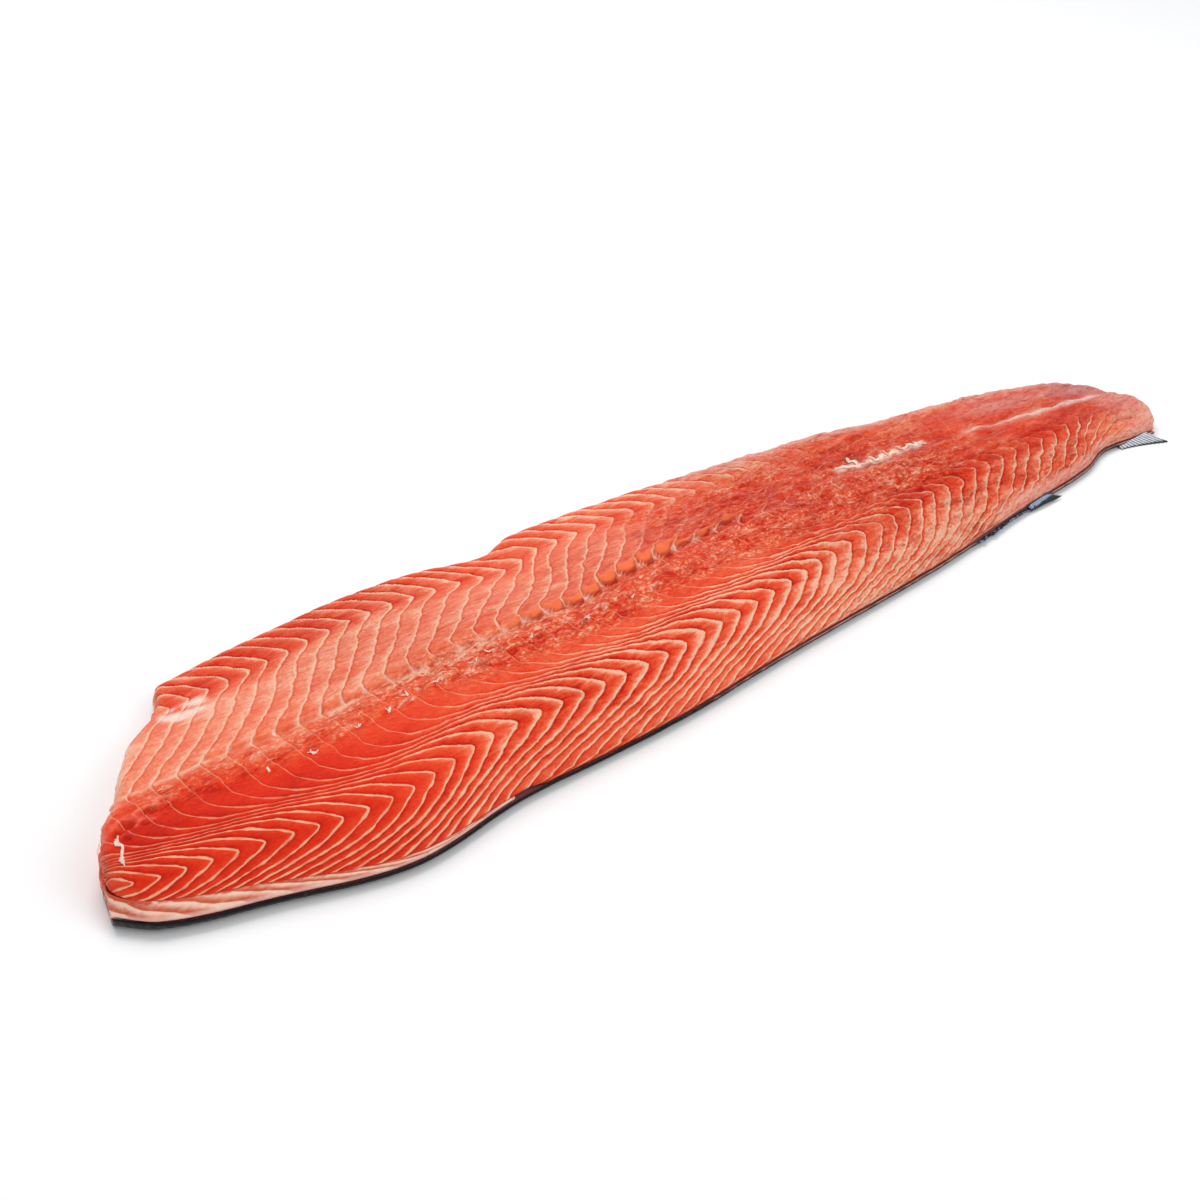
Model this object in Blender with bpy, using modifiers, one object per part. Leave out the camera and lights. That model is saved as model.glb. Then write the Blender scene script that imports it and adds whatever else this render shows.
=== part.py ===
"""A raw salmon side, skin on, lying skin down: flesh, the fat along the back, the skin, the adipose fin and
the root of the tail fin. Each is a box or a grid of cells bent by a few section functions."""

import math

import bmesh
import bpy
import numpy as np

# Driving dimensions in metres. x runs from the head cut to the tail, y from the back to the belly, z up.
LENGTH = 0.677
WIDTH = 0.186
LOIN_HEIGHT = 0.034
SKIN_THICKNESS = 0.0010
GAP = 0.0003

# Outlines in plan, as (share of LENGTH, share of WIDTH).
BACK_EDGE = (
    (0.00, 0.262), (0.022, 0.182), (0.085, 0.100), (0.186, 0.000), (0.276, 0.038), (0.377, 0.032),
    (0.528, 0.070), (0.678, 0.102), (0.82, 0.163), (0.86, 0.175), (0.89, 0.190), (0.93, 0.232),
    (0.965, 0.218), (1.00, 0.205),
)
BELLY_EDGE = (
    (0.00, 0.872), (0.126, 0.940), (0.216, 0.982), (0.29, 1.000), (0.355, 0.974), (0.41, 0.920),
    (0.442, 0.960), (0.52, 0.938), (0.62, 0.886), (0.72, 0.833), (0.80, 0.760), (0.88, 0.703),
    (0.95, 0.622), (1.00, 0.530),
)
# The two ends, as (share of the way from back to belly, share of LENGTH).
HEAD_CUT = (
    (0.00, 0.000), (0.10, 0.004), (0.18, 0.007), (0.25, 0.010), (0.38, 0.021), (0.49, 0.036), (0.72, 0.068),
    (0.77, 0.076), (0.85, 0.104), (0.93, 0.120), (1.00, 0.127),
)
TAIL_CUT = ((0.00, 0.985), (0.12, 0.996), (0.30, 1.000), (0.60, 0.998), (0.85, 0.988), (1.00, 0.970))

# Heights along the length, as (share of LENGTH, share of LOIN_HEIGHT).
LOIN_CREST = (
    (0.00, 0.72), (0.065, 0.83), (0.186, 0.95), (0.36, 1.00), (0.56, 0.92), (0.74, 0.72), (0.88, 0.54),
    (0.96, 0.45), (1.00, 0.40),
)
BELLY_CREST = (
    (0.00, 0.42), (0.14, 0.36), (0.30, 0.28), (0.50, 0.30), (0.70, 0.33), (0.90, 0.31), (1.00, 0.28),
)
# Where the groove over the backbone's place runs, as (share of LENGTH, share of the way across).
MIDLINE = (
    (0.00, 0.50), (0.10, 0.495), (0.20, 0.468), (0.29, 0.425), (0.33, 0.43), (0.46, 0.45), (0.56, 0.50),
    (0.70, 0.56), (0.86, 0.585), (1.00, 0.56),
)

SHOULDER_WIDTH = 0.042
SHOULDER_SHARE = 0.34
CREST_END = 0.34
BELLY_ROUNDING = 0.006
HEAD_ROUNDING, TAIL_ROUNDING = 0.008, 0.007
BELLY_KEPT, HEAD_KEPT, TAIL_KEPT = 0.45, 0.68, 0.62
LEAST_WALL = 0.0022
GROOVE_DEPTH, GROOVE_WIDTH = 0.0018, 0.007

# The skin turns up off the table along the back, most at the head.
SKIN_LIFT = ((0.00, 0.0065), (0.05, 0.0052), (0.20, 0.0036), (0.60, 0.0028), (1.00, 0.0022))
SKIN_LIFT_WIDTH = 0.006
SKIN_TURN = 0.95
SKIN_PROUD = 0.0012
PROUD_WIDTH = 0.004

# The pale fat between the skin and the flesh along the back, from the head cut on.
FAT_END = 0.262
FAT_HEIGHT = (
    (0.00, 0.0066), (0.03, 0.0071), (0.06, 0.0070), (0.10, 0.0061), (0.14, 0.0050), (0.20, 0.0036),
    (0.262, 0.0018),
)
FAT_DEPTH = ((0.00, 0.022), (0.16, 0.018), (0.262, 0.008))
FAT_FADE = 0.03
FAT_LEDGE, FAT_LEDGE_DEPTH = 0.08, 0.02
FAT_INNER_EDGE = 0.0008
FAT_CLEARANCE = 0.0007

# The adipose fin: its root and tip as shares of LENGTH, and how far it reaches out from the skin's edge.
ADIPOSE_ROOT = (0.806, 0.834)
ADIPOSE_TIP, ADIPOSE_REACH, ADIPOSE_ROOT_REACH = 0.8440, 0.0030, 0.0008
ADIPOSE_LEAD = 0.7
ADIPOSE_THICKNESS, ADIPOSE_THINNING = 0.0014, 0.7
ADIPOSE_HEIGHT, ADIPOSE_DROOP = 0.0016, 0.5

# The root of the tail fin: a flap that slopes from the skin's edge down to a point on the table.
TAIL_FIN_ROOT = (0.945, 0.974)
TAIL_FIN_TIP, TAIL_FIN_REACH = 0.986, 0.0086
TAIL_FIN_HEIGHT, TAIL_FIN_EDGE = 0.0050, 0.0009
TAIL_FIN_SWEEP, TAIL_FIN_HOLLOW, TAIL_FIN_START = 1.5, 1.4, 0.4

# Cells of the flesh and skin, and how far the stations bunch at their ends.
STATIONS_ALONG, STATIONS_ACROSS, FLESH_LAYERS = 48, 20, 2
END_BUNCHING, BACK_BUNCHING = 0.55, 1.25


def clamped(value):
    return min(max(value, 0.0), 1.0)


def curve_through(points):
    """A smooth function through the points that never overshoots between two of them."""
    xs, ys = (np.array(values, float) for values in zip(*points))
    steps, slopes = np.diff(xs), np.diff(ys) / np.diff(xs)
    tangents = np.concatenate([slopes[:1], np.zeros(len(xs) - 2), slopes[-1:]])
    for i in range(1, len(xs) - 1):
        before, after = slopes[i - 1], slopes[i]
        if before * after > 0:
            tangents[i] = 2 * before * after / (before + after)

    def value(x):
        i = int(np.clip(np.searchsorted(xs, x) - 1, 0, len(steps) - 1))
        t = clamped((x - xs[i]) / steps[i])
        rise = (3 - 2 * t) * t * t
        bend = steps[i] * (tangents[i] * t * (1 - t) ** 2 - tangents[i + 1] * t * t * (1 - t))
        return float(ys[i] * (1 - rise) + ys[i + 1] * rise + bend)

    return value


back_edge, belly_edge = curve_through(BACK_EDGE), curve_through(BELLY_EDGE)
head_cut, tail_cut = curve_through(HEAD_CUT), curve_through(TAIL_CUT)
loin_crest, belly_crest = curve_through(LOIN_CREST), curve_through(BELLY_CREST)
midline, skin_lift = curve_through(MIDLINE), curve_through(SKIN_LIFT)
fat_height, fat_depth = curve_through(FAT_HEIGHT), curve_through(FAT_DEPTH)


def eased(t):
    """Stations bunched towards both ends of 0..1, where the edges are round."""
    return (1 - END_BUNCHING) * t + END_BUNCHING * (0.5 - 0.5 * math.cos(math.pi * t))


def eased_across(t):
    """The same, and closer still at the back edge, where the skin turns up."""
    return eased(t) ** BACK_BUNCHING


def width_at(along):
    return WIDTH * (belly_edge(along) - back_edge(along))


def plan(u, v):
    """Plan place of the point u of the way from head cut to tail and v of the way from back to belly."""
    along = head_cut(v) + (tail_cut(v) - head_cut(v)) * u
    return along, LENGTH * along, WIDTH * back_edge(along) + v * width_at(along)


def skin_bottom(along, across):
    """Height of the skin's outer face, across metres from the back edge."""
    turn = SKIN_TURN * (1 - clamped(across / SKIN_LIFT_WIDTH))
    whole_turn = 1 - math.sqrt(1 - SKIN_TURN * SKIN_TURN)
    return skin_lift(along) * (1 - math.sqrt(1 - turn * turn)) / whole_turn


def flesh_floor(along, across):
    return skin_bottom(along, across) + SKIN_THICKNESS + GAP


def flesh_top(along, across, u):
    """Height of the cut face: a steep round shoulder at the back, the loin, and the thin belly."""
    width = width_at(along)
    v = across / width
    shoulder_width = min(SHOULDER_WIDTH, SHOULDER_SHARE * width)
    shoulder = 1 - clamped(across / shoulder_width)
    fall = clamped((v - CREST_END) / (1 - CREST_END))
    belly = LOIN_HEIGHT * belly_crest(along)
    crest = belly + (LOIN_HEIGHT * loin_crest(along) - belly) * (0.5 + 0.5 * math.cos(math.pi * fall))
    groove = GROOVE_DEPTH * math.exp(-(((v - midline(along)) * width / GROOVE_WIDTH) ** 2))
    floor = flesh_floor(along, across)
    height = (crest - groove - floor) * math.sqrt(1 - shoulder * shoulder)
    for distance, rounding, kept in (
        (width - across, BELLY_ROUNDING, BELLY_KEPT),
        (u * LENGTH, HEAD_ROUNDING, HEAD_KEPT),
        ((1 - u) * LENGTH, TAIL_ROUNDING, TAIL_KEPT),
    ):
        inward = 1 - clamped(distance / rounding)
        height *= kept + (1 - kept) * math.sqrt(1 - inward * inward)
    return floor + max(height, LEAST_WALL)


def top_point(u, v):
    """A point of the cut face, or of the fat's outer face below it."""
    along, x, y = plan(u, v)
    return np.array((x, y, flesh_top(along, v * width_at(along), u)))


def floor_point(u, v, above=0.0):
    """A point just above the skin."""
    along, x, y = plan(u, v)
    return np.array((x, y, flesh_floor(along, v * width_at(along)) + above))


def fat_rim(u):
    """How far across, as a share, the flesh starts above the fat."""
    along = plan(u, 0.0)[0]
    if along > FAT_END:
        return 0.0
    target = flesh_floor(along, 0.0) + fat_height(along)
    low, high = 0.0, SHOULDER_WIDTH / WIDTH
    for _ in range(30):
        middle = (low + high) / 2
        low, high = (middle, high) if top_point(u, middle)[2] < target else (low, middle)
    return low


def fat_reach(u):
    """How far across, as a share, the fat goes under the flesh. It fades out just past FAT_END."""
    along = plan(u, 0.0)[0]
    fade = clamped((FAT_END + FAT_FADE - along) / FAT_FADE)
    return fat_depth(min(along, FAT_END)) * fade / width_at(along)


def material(name, colour, roughness):
    """A plain finish: one Principled shader."""
    made = bpy.data.materials.new(name)
    made.use_nodes = True
    shader = made.node_tree.nodes["Principled BSDF"]
    shader.inputs["Base Color"].default_value = (*colour, 1)
    shader.inputs["Roughness"].default_value = roughness
    shader.inputs["Metallic"].default_value = 0.0
    return made


def add_object(name, bm, finish, collection):
    mesh = bpy.data.meshes.new(name)
    bm.normal_update()
    bm.to_mesh(mesh)
    bm.free()
    mesh.shade_smooth()
    mesh.set_sharp_from_angle(angle=math.radians(50))
    mesh.materials.append(finish)
    made = bpy.data.objects.new(name, mesh)
    collection.objects.link(made)
    return made


def box_lattice(cuts_x, cuts_y, cuts_z):
    """A cube from 0 to 1 with each side cut into equal cells."""
    bm = bmesh.new()
    bmesh.ops.create_cube(bm, size=1.0)
    bmesh.ops.translate(bm, verts=bm.verts, vec=(0.5, 0.5, 0.5))
    for axis, cells in enumerate((cuts_x, cuts_y, cuts_z)):
        across = [e for e in bm.edges if abs(e.verts[0].co[axis] - e.verts[1].co[axis]) > 0.5]
        bmesh.ops.subdivide_edges(bm, edges=across, cuts=cells - 1, use_grid_fill=True)
    return bm


def make_flesh(finish, collection):
    """The whole side without its skin. Its lower back edge stands clear of the fat."""
    bm = box_lattice(STATIONS_ALONG, STATIONS_ACROSS, FLESH_LAYERS)
    for vert in bm.verts:
        u, across, layer = eased(vert.co.x), eased_across(vert.co.y), vert.co.z
        rim, reach = fat_rim(u), fat_reach(u)
        near_fat = (1 - clamped(across / FAT_LEDGE)) * clamped(reach / FAT_LEDGE_DEPTH)
        floor = floor_point(u, reach + across * (1 - reach), near_fat * (FAT_INNER_EDGE + GAP))
        top = top_point(u, rim + across * (1 - rim))
        vert.co = floor + (top - floor) * layer
    return add_object("flesh", bm, finish, collection)


def make_skin(finish, collection):
    """One sheet under everything, thickened downwards. It lies flat but for the lift along the back."""
    bm = bmesh.new()
    bmesh.ops.create_grid(bm, x_segments=STATIONS_ALONG, y_segments=STATIONS_ACROSS, size=0.5)
    for vert in bm.verts:
        u, v = eased(vert.co.x + 0.5), eased_across(vert.co.y + 0.5)
        along, x, y = plan(u, v)
        across = y - WIDTH * back_edge(along)
        proud = SKIN_PROUD * (1 - clamped(across / PROUD_WIDTH))
        vert.co = (x, y - proud, skin_bottom(along, across) + SKIN_THICKNESS)
    skin = add_object("skin", bm, finish, collection)
    shell = skin.modifiers.new("thickness", "SOLIDIFY")
    shell.thickness = SKIN_THICKNESS
    shell.offset = -1
    return skin


def make_fat(finish, collection):
    """A wedge from the back edge to under the flesh, as high as the fat shows at the side."""
    stations = [eased(i / STATIONS_ALONG) for i in range(STATIONS_ALONG)]
    stations = [u for u in stations if plan(u, 0.0)[0] < FAT_END]
    cells = len(stations) - 1
    bm = box_lattice(cells, 4, FLESH_LAYERS)
    for vert in bm.verts:
        station, inward, layer = round(vert.co.x * cells), vert.co.y, vert.co.z
        u = stations[station]
        clearance = FAT_CLEARANCE / width_at(plan(u, 0.0)[0])
        rim, reach = fat_rim(u) - clearance, fat_reach(u) - clearance
        outer = top_point(u, rim * layer) if layer > 0 else floor_point(u, 0.0)
        inner = floor_point(u, reach, FAT_INNER_EDGE * layer)
        point = outer + (inner - outer) * inward
        if layer == 0:
            point = floor_point(u, reach * inward)
        point[0] -= GAP * (station == cells)
        vert.co = point
    return add_object("fat_band", bm, finish, collection)


def skin_rim(along):
    """Where the skin's outer edge runs, in metres across, with a gap outside it."""
    return WIDTH * back_edge(along) - SKIN_PROUD - SKIN_THICKNESS - GAP


def make_adipose_fin(finish, collection):
    """A thin flap out from the skin's edge, pointing towards the tail."""
    start, end = ADIPOSE_ROOT
    bm = box_lattice(8, 4, 2)
    for vert in bm.verts:
        share, out, layer = vert.co.x, 1 - vert.co.y, vert.co.z
        root_along = start + (end - start) * share
        reach = ADIPOSE_ROOT_REACH + (ADIPOSE_REACH - ADIPOSE_ROOT_REACH) * share ** ADIPOSE_LEAD
        along = root_along + (ADIPOSE_TIP - end) * share * out
        thickness = ADIPOSE_THICKNESS * (1 - ADIPOSE_THINNING * out)
        height = ADIPOSE_HEIGHT * (1 - ADIPOSE_DROOP * out) + thickness * layer
        vert.co = (LENGTH * along, skin_rim(root_along) - reach * out, height)
    return add_object("adipose_fin", bm, finish, collection)


def make_tail_fin_root(finish, collection):
    """A wedge of skin and ray ends: thick at the skin's edge, thin at the point on the table."""
    start, end = TAIL_FIN_ROOT
    bm = box_lattice(10, 5, 1)
    for vert in bm.verts:
        share, out, layer = vert.co.x, 1 - vert.co.y, vert.co.z
        root_along = start + (end - start) * share
        reach = TAIL_FIN_REACH * share ** TAIL_FIN_SWEEP + TAIL_FIN_EDGE
        along = root_along + (TAIL_FIN_TIP - end) * share * out
        root_height = TAIL_FIN_HEIGHT * (TAIL_FIN_START + (1 - TAIL_FIN_START) * share)
        height = TAIL_FIN_EDGE + (root_height - TAIL_FIN_EDGE) * (1 - out) ** TAIL_FIN_HOLLOW
        vert.co = (LENGTH * along, skin_rim(root_along) - reach * out, height * layer)
    return add_object("tail_fin_root", bm, finish, collection)


def centre_on_base(collection):
    """Puts the origin in the middle of the footprint, on the surface that the side lies on."""
    bpy.context.view_layer.update()
    depsgraph = bpy.context.evaluated_depsgraph_get()
    evaluated = [made.evaluated_get(depsgraph) for made in collection.objects]
    corners = np.array([corner for made in evaluated for corner in made.bound_box])
    low, high = corners.min(axis=0), corners.max(axis=0)
    for made in collection.objects:
        made.location = (-(low[0] + high[0]) / 2, -(low[1] + high[1]) / 2, -low[2])


def main():
    for old in list(bpy.data.objects):
        bpy.data.objects.remove(old)
    collection = bpy.data.collections.new("salmon_side")
    bpy.context.scene.collection.children.link(collection)
    make_flesh(material("raw_flesh", (0.80, 0.12, 0.05), 0.35), collection)
    make_skin(material("dark_skin", (0.05, 0.06, 0.08), 0.30), collection)
    make_fat(material("pale_fat", (0.75, 0.45, 0.33), 0.40), collection)
    make_adipose_fin(material("fin_skin", (0.06, 0.07, 0.10), 0.35), collection)
    make_tail_fin_root(material("fin_root", (0.45, 0.45, 0.46), 0.40), collection)
    centre_on_base(collection)


main()
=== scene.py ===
import math

import bmesh
import bpy
import numpy as np
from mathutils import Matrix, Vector


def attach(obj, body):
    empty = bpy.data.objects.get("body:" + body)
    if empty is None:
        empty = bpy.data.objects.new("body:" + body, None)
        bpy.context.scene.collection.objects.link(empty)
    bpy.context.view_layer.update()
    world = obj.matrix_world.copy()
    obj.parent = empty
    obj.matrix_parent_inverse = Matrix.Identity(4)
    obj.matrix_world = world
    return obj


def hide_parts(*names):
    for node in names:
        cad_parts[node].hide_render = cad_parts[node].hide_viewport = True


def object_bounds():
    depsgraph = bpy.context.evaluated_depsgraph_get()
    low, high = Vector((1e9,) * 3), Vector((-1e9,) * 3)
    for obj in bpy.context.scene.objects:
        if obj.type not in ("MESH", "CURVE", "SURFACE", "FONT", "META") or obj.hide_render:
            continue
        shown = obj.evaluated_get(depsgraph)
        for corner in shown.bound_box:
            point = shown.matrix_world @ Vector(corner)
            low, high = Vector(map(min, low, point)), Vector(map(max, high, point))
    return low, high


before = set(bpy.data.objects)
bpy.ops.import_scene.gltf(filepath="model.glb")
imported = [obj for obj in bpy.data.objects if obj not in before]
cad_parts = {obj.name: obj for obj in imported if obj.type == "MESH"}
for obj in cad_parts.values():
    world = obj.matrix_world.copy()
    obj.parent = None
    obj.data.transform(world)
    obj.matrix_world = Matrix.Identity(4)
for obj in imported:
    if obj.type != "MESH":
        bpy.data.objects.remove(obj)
cadLow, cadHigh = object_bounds()
mm = 0.001

# The outlines and heights of the side, as shares of its length, width and height.
side = {
    "edgeRoom": 0.35 * mm,  # what the skin's fins and rim add at each end
    "widthShare": 0.99,
    "skinThickness": 1.0 * mm,
    "gap": 0.3 * mm,
    "backEdge": (
        (0.00, 0.262), (0.022, 0.182), (0.085, 0.100), (0.186, 0.000), (0.276, 0.038), (0.377, 0.032),
        (0.528, 0.070), (0.678, 0.102), (0.82, 0.163), (0.86, 0.175), (0.89, 0.190), (0.93, 0.232),
        (0.965, 0.218), (1.00, 0.205),
    ),
    "bellyEdge": (
        (0.00, 0.872), (0.126, 0.940), (0.216, 0.982), (0.29, 1.000), (0.355, 0.974), (0.41, 0.920),
        (0.442, 0.960), (0.52, 0.938), (0.62, 0.886), (0.72, 0.833), (0.80, 0.760), (0.88, 0.703),
        (0.95, 0.622), (1.00, 0.530),
    ),
    "headCut": (
        (0.00, 0.000), (0.10, 0.004), (0.18, 0.007), (0.25, 0.010), (0.38, 0.021), (0.49, 0.036),
        (0.72, 0.068), (0.77, 0.076), (0.85, 0.104), (0.93, 0.120), (1.00, 0.127),
    ),
    "tailCut": ((0.00, 0.985), (0.12, 0.996), (0.30, 1.000), (0.60, 0.998), (0.85, 0.988), (1.00, 0.970)),
    "loinCrest": (
        (0.00, 0.72), (0.065, 0.83), (0.186, 0.95), (0.36, 1.00), (0.56, 0.92), (0.74, 0.72), (0.88, 0.54),
        (0.96, 0.45), (1.00, 0.40),
    ),
    "bellyCrest": (
        (0.00, 0.42), (0.14, 0.36), (0.30, 0.28), (0.50, 0.30), (0.70, 0.33), (0.90, 0.31), (1.00, 0.28),
    ),
    "midline": (
        (0.00, 0.50), (0.10, 0.495), (0.20, 0.468), (0.29, 0.425), (0.33, 0.43), (0.46, 0.45),
        (0.56, 0.50), (0.70, 0.56), (0.86, 0.585), (1.00, 0.56),
    ),
    "skinLift": ((0.00, 6.5), (0.05, 5.2), (0.20, 3.6), (0.60, 2.8), (1.00, 2.2)),  # mm
    "skinLiftWidth": 6.0 * mm,
    "skinTurn": 0.95,
    "skinProud": 1.2 * mm,
    "proudWidth": 4.0 * mm,
    "shoulderWidth": 42.0 * mm,
    "shoulderShare": 0.34,
    "crestEnd": 0.34,
    "grooveDepth": 1.8 * mm,
    "grooveWidth": 7.0 * mm,
    "leastWall": 2.2 * mm,
    # how far from each edge the cut face rounds over, and the share of its height left there
    "bellyRound": (6.0 * mm, 0.45),
    "headRound": (8.0 * mm, 0.68),
    "tailRound": (7.0 * mm, 0.62),
}
length = cadHigh.x - cadLow.x - 2 * side["edgeRoom"]
width = (cadHigh.y - cadLow.y) * side["widthShare"]
height = cadHigh.z - cadLow.z
headEnd = cadLow.x + side["edgeRoom"]
backLine = cadHigh.y - width


# A smooth curve through values at places, which never overshoots. Both may be arrays over x.
def curveBetween(places, values, x):
    steps = [after - before for before, after in zip(places, places[1:])]
    slopes = [(after - before) / step for before, after, step in zip(values, values[1:], steps)]
    tangents = [slopes[0]]
    for before, after in zip(slopes, slopes[1:]):
        product = before * after
        total = np.where(product > 0, before + after, 1.0)
        tangents.append(np.where(product > 0, 2 * product / total, 0.0))
    tangents.append(slopes[-1])
    result = values[0] + 0 * x
    for i, step in enumerate(steps):
        t = np.clip((x - places[i]) / step, 0, 1)
        rise = (3 - 2 * t) * t * t
        bend = step * (tangents[i] * t * (1 - t) ** 2 - tangents[i + 1] * t * t * (1 - t))
        result = np.where(x >= places[i], values[i] * (1 - rise) + values[i + 1] * rise + bend, result)
    return result


def curveThrough(points):
    places, values = zip(*points)
    return lambda x: curveBetween(places, values, x)


def smooth(start, end, x):
    t = np.clip((x - start) / (end - start), 0, 1)
    return t * t * (3 - 2 * t)


# 1 between start and end, fading out over soft at both.
def within(start, end, soft, x):
    return smooth(start - soft, start + soft, x) * (1 - smooth(end - soft, end + soft, x))


def bump(centre, halfWidth, x):
    return np.exp(-(((x - centre) / halfWidth) ** 2))


# Soft noise from -1 to 1 over a plan, with patches of about that size.
def patches(x, y, size, seed):
    table = np.random.RandomState(seed).uniform(-1, 1, (128, 128))
    x, y = x / size + 31.7, y / size + 17.3
    i, j = np.floor(x).astype(int), np.floor(y).astype(int)
    p, q = smooth(0, 1, x - i), smooth(0, 1, y - j)
    low = table[i % 128, j % 128] * (1 - p) + table[(i + 1) % 128, j % 128] * p
    high = table[i % 128, (j + 1) % 128] * (1 - p) + table[(i + 1) % 128, (j + 1) % 128] * p
    return low * (1 - q) + high * q


# Between 0 and 1 in patches, base on average.
def patchy(base, gain, x, y, size, seed):
    return np.clip(base + gain * patches(x, y, size, seed), 0, 1)


# The sum of soft-edged zones. A row is a weight, then from, to and softness along and the same across.
def zones(rows, along, v):
    return sum(
        weight * within(*onLength, along) * within(*onWidth, v) for weight, onLength, onWidth in rows
    )


far = 9  # a share beyond either end
anywhere = (-far, far, 1)
curves = {
    name: curveThrough(points)
    for name, points in side.items()
    if isinstance(points, tuple) and len(points) > 2
}


def widthAt(along):
    return width * (curves["bellyEdge"](along) - curves["backEdge"](along))


# Plan place of a point u of the way from the head cut to the tail and v of the way from back to belly.
def planPlace(u, v):
    head = curves["headCut"](v)
    along = head + (curves["tailCut"](v) - head) * u
    return along, width * curves["backEdge"](along) + v * widthAt(along)


def skinUnderside(along, across):
    turn = side["skinTurn"] * (1 - np.clip(across / side["skinLiftWidth"], 0, 1))
    wholeTurn = 1 - math.sqrt(1 - side["skinTurn"] ** 2)
    return mm * curves["skinLift"](along) * (1 - np.sqrt(1 - turn * turn)) / wholeTurn


def fleshFloor(along, across):
    return skinUnderside(along, across) + side["skinThickness"] + side["gap"]


# Height of the cut face: a steep round shoulder at the back, the loin, and the thin belly.
def fleshTop(along, across, u):
    wide = widthAt(along)
    v = across / wide
    shoulderWidth = np.minimum(side["shoulderWidth"], side["shoulderShare"] * wide)
    shoulder = 1 - np.clip(across / shoulderWidth, 0, 1)
    fall = np.clip((v - side["crestEnd"]) / (1 - side["crestEnd"]), 0, 1)
    belly = height * curves["bellyCrest"](along)
    loin = height * curves["loinCrest"](along)
    crest = belly + (loin - belly) * (0.5 + 0.5 * np.cos(math.pi * fall))
    groove = side["grooveDepth"] * bump(0, side["grooveWidth"], (v - curves["midline"](along)) * wide)
    floor = fleshFloor(along, across)
    rise = (crest - groove - floor) * np.sqrt(1 - shoulder * shoulder)
    edges = (
        (wide - across, side["bellyRound"]),
        (u * length, side["headRound"]),
        ((1 - u) * length, side["tailRound"]),
    )
    for distance, (rounding, kept) in edges:
        inward = 1 - np.clip(distance / rounding, 0, 1)
        rise = rise * (kept + (1 - kept) * np.sqrt(1 - inward * inward))
    return floor + np.maximum(rise, side["leastWall"])


def inFrame(along, across, z):
    return np.stack([headEnd + length * along, backLine + across, z + 0 * along], axis=-1)


def topPlace(u, v):
    along, y = planPlace(u, v)
    return inFrame(along, y, fleshTop(along, v * widthAt(along), u))


def floorPlace(u, v, above=0.0):
    along, y = planPlace(u, v)
    return inFrame(along, y, fleshFloor(along, v * widthAt(along)) + above)


# Where the connective sheets between the muscle blocks run. A sheet crosses each share of the way across
# this many mm tailward of its own furthest point: one list for the head and middle, one for the tail.
sheets = {
    "sweep": (
        (0.00, -71), (0.04, -30.5), (0.06, -16), (0.08, -7.7), (0.098, -1.2), (0.105, 0), (0.112, -1.2),
        (0.14, -9.5), (0.16, -16.6), (0.18, -30), (0.20, -50), (0.22, -64), (0.24, -70), (0.30, -77),
        (0.40, -78), (0.47, -78), (0.58, -61), (0.70, -43), (0.77, -34), (0.848, -18.6), (0.855, -18),
        (0.862, -18.6), (0.90, -22), (1.00, -41),
    ),
    "tailSweep": (
        (0.00, -55), (0.03, -36), (0.06, -26), (0.10, -20), (0.22, -2.4), (0.25, 0), (0.265, -1),
        (0.28, -3), (0.30, -7), (0.32, -12), (0.34, -17), (0.36, -20), (0.38, -23), (0.42, -25),
        (0.46, -26), (0.50, -26), (0.57, -21), (0.66, -16), (0.74, -12), (0.84, -7.4), (0.85, -7),
        (0.87, -7.4), (0.91, -9), (1.00, -18),
    ),
    "change": (0.46, 0.86),  # where along the first list turns into the second
    "passed": ((0.00, 0), (0.15, 13.4), (0.35, 29.5), (0.66, 55.0), (0.80, 66.6)),  # sheets, by metres
    "wander": 0.10,
    "wanderSize": 34 * mm,
    "ripple": 0.05,
    "rippleSize": 5.5 * mm,
}
sheetsPassed = curveThrough(sheets["passed"])


def sheetCount(along, v):
    change = smooth(*sheets["change"], along)
    pairs = list(zip(sheets["sweep"], sheets["tailSweep"]))
    shares = [first[0] + (last[0] - first[0]) * change for first, last in pairs]
    sweeps = [mm * (first[1] + (last[1] - first[1]) * change) for first, last in pairs]
    x = length * along
    y = v * widthAt(along)
    count = sheetsPassed(x - curveBetween(shares, sweeps, v))
    count = count + sheets["wander"] * patches(x, y, sheets["wanderSize"], 3)
    return count + sheets["ripple"] * patches(x, y, sheets["rippleSize"], 4)


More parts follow.
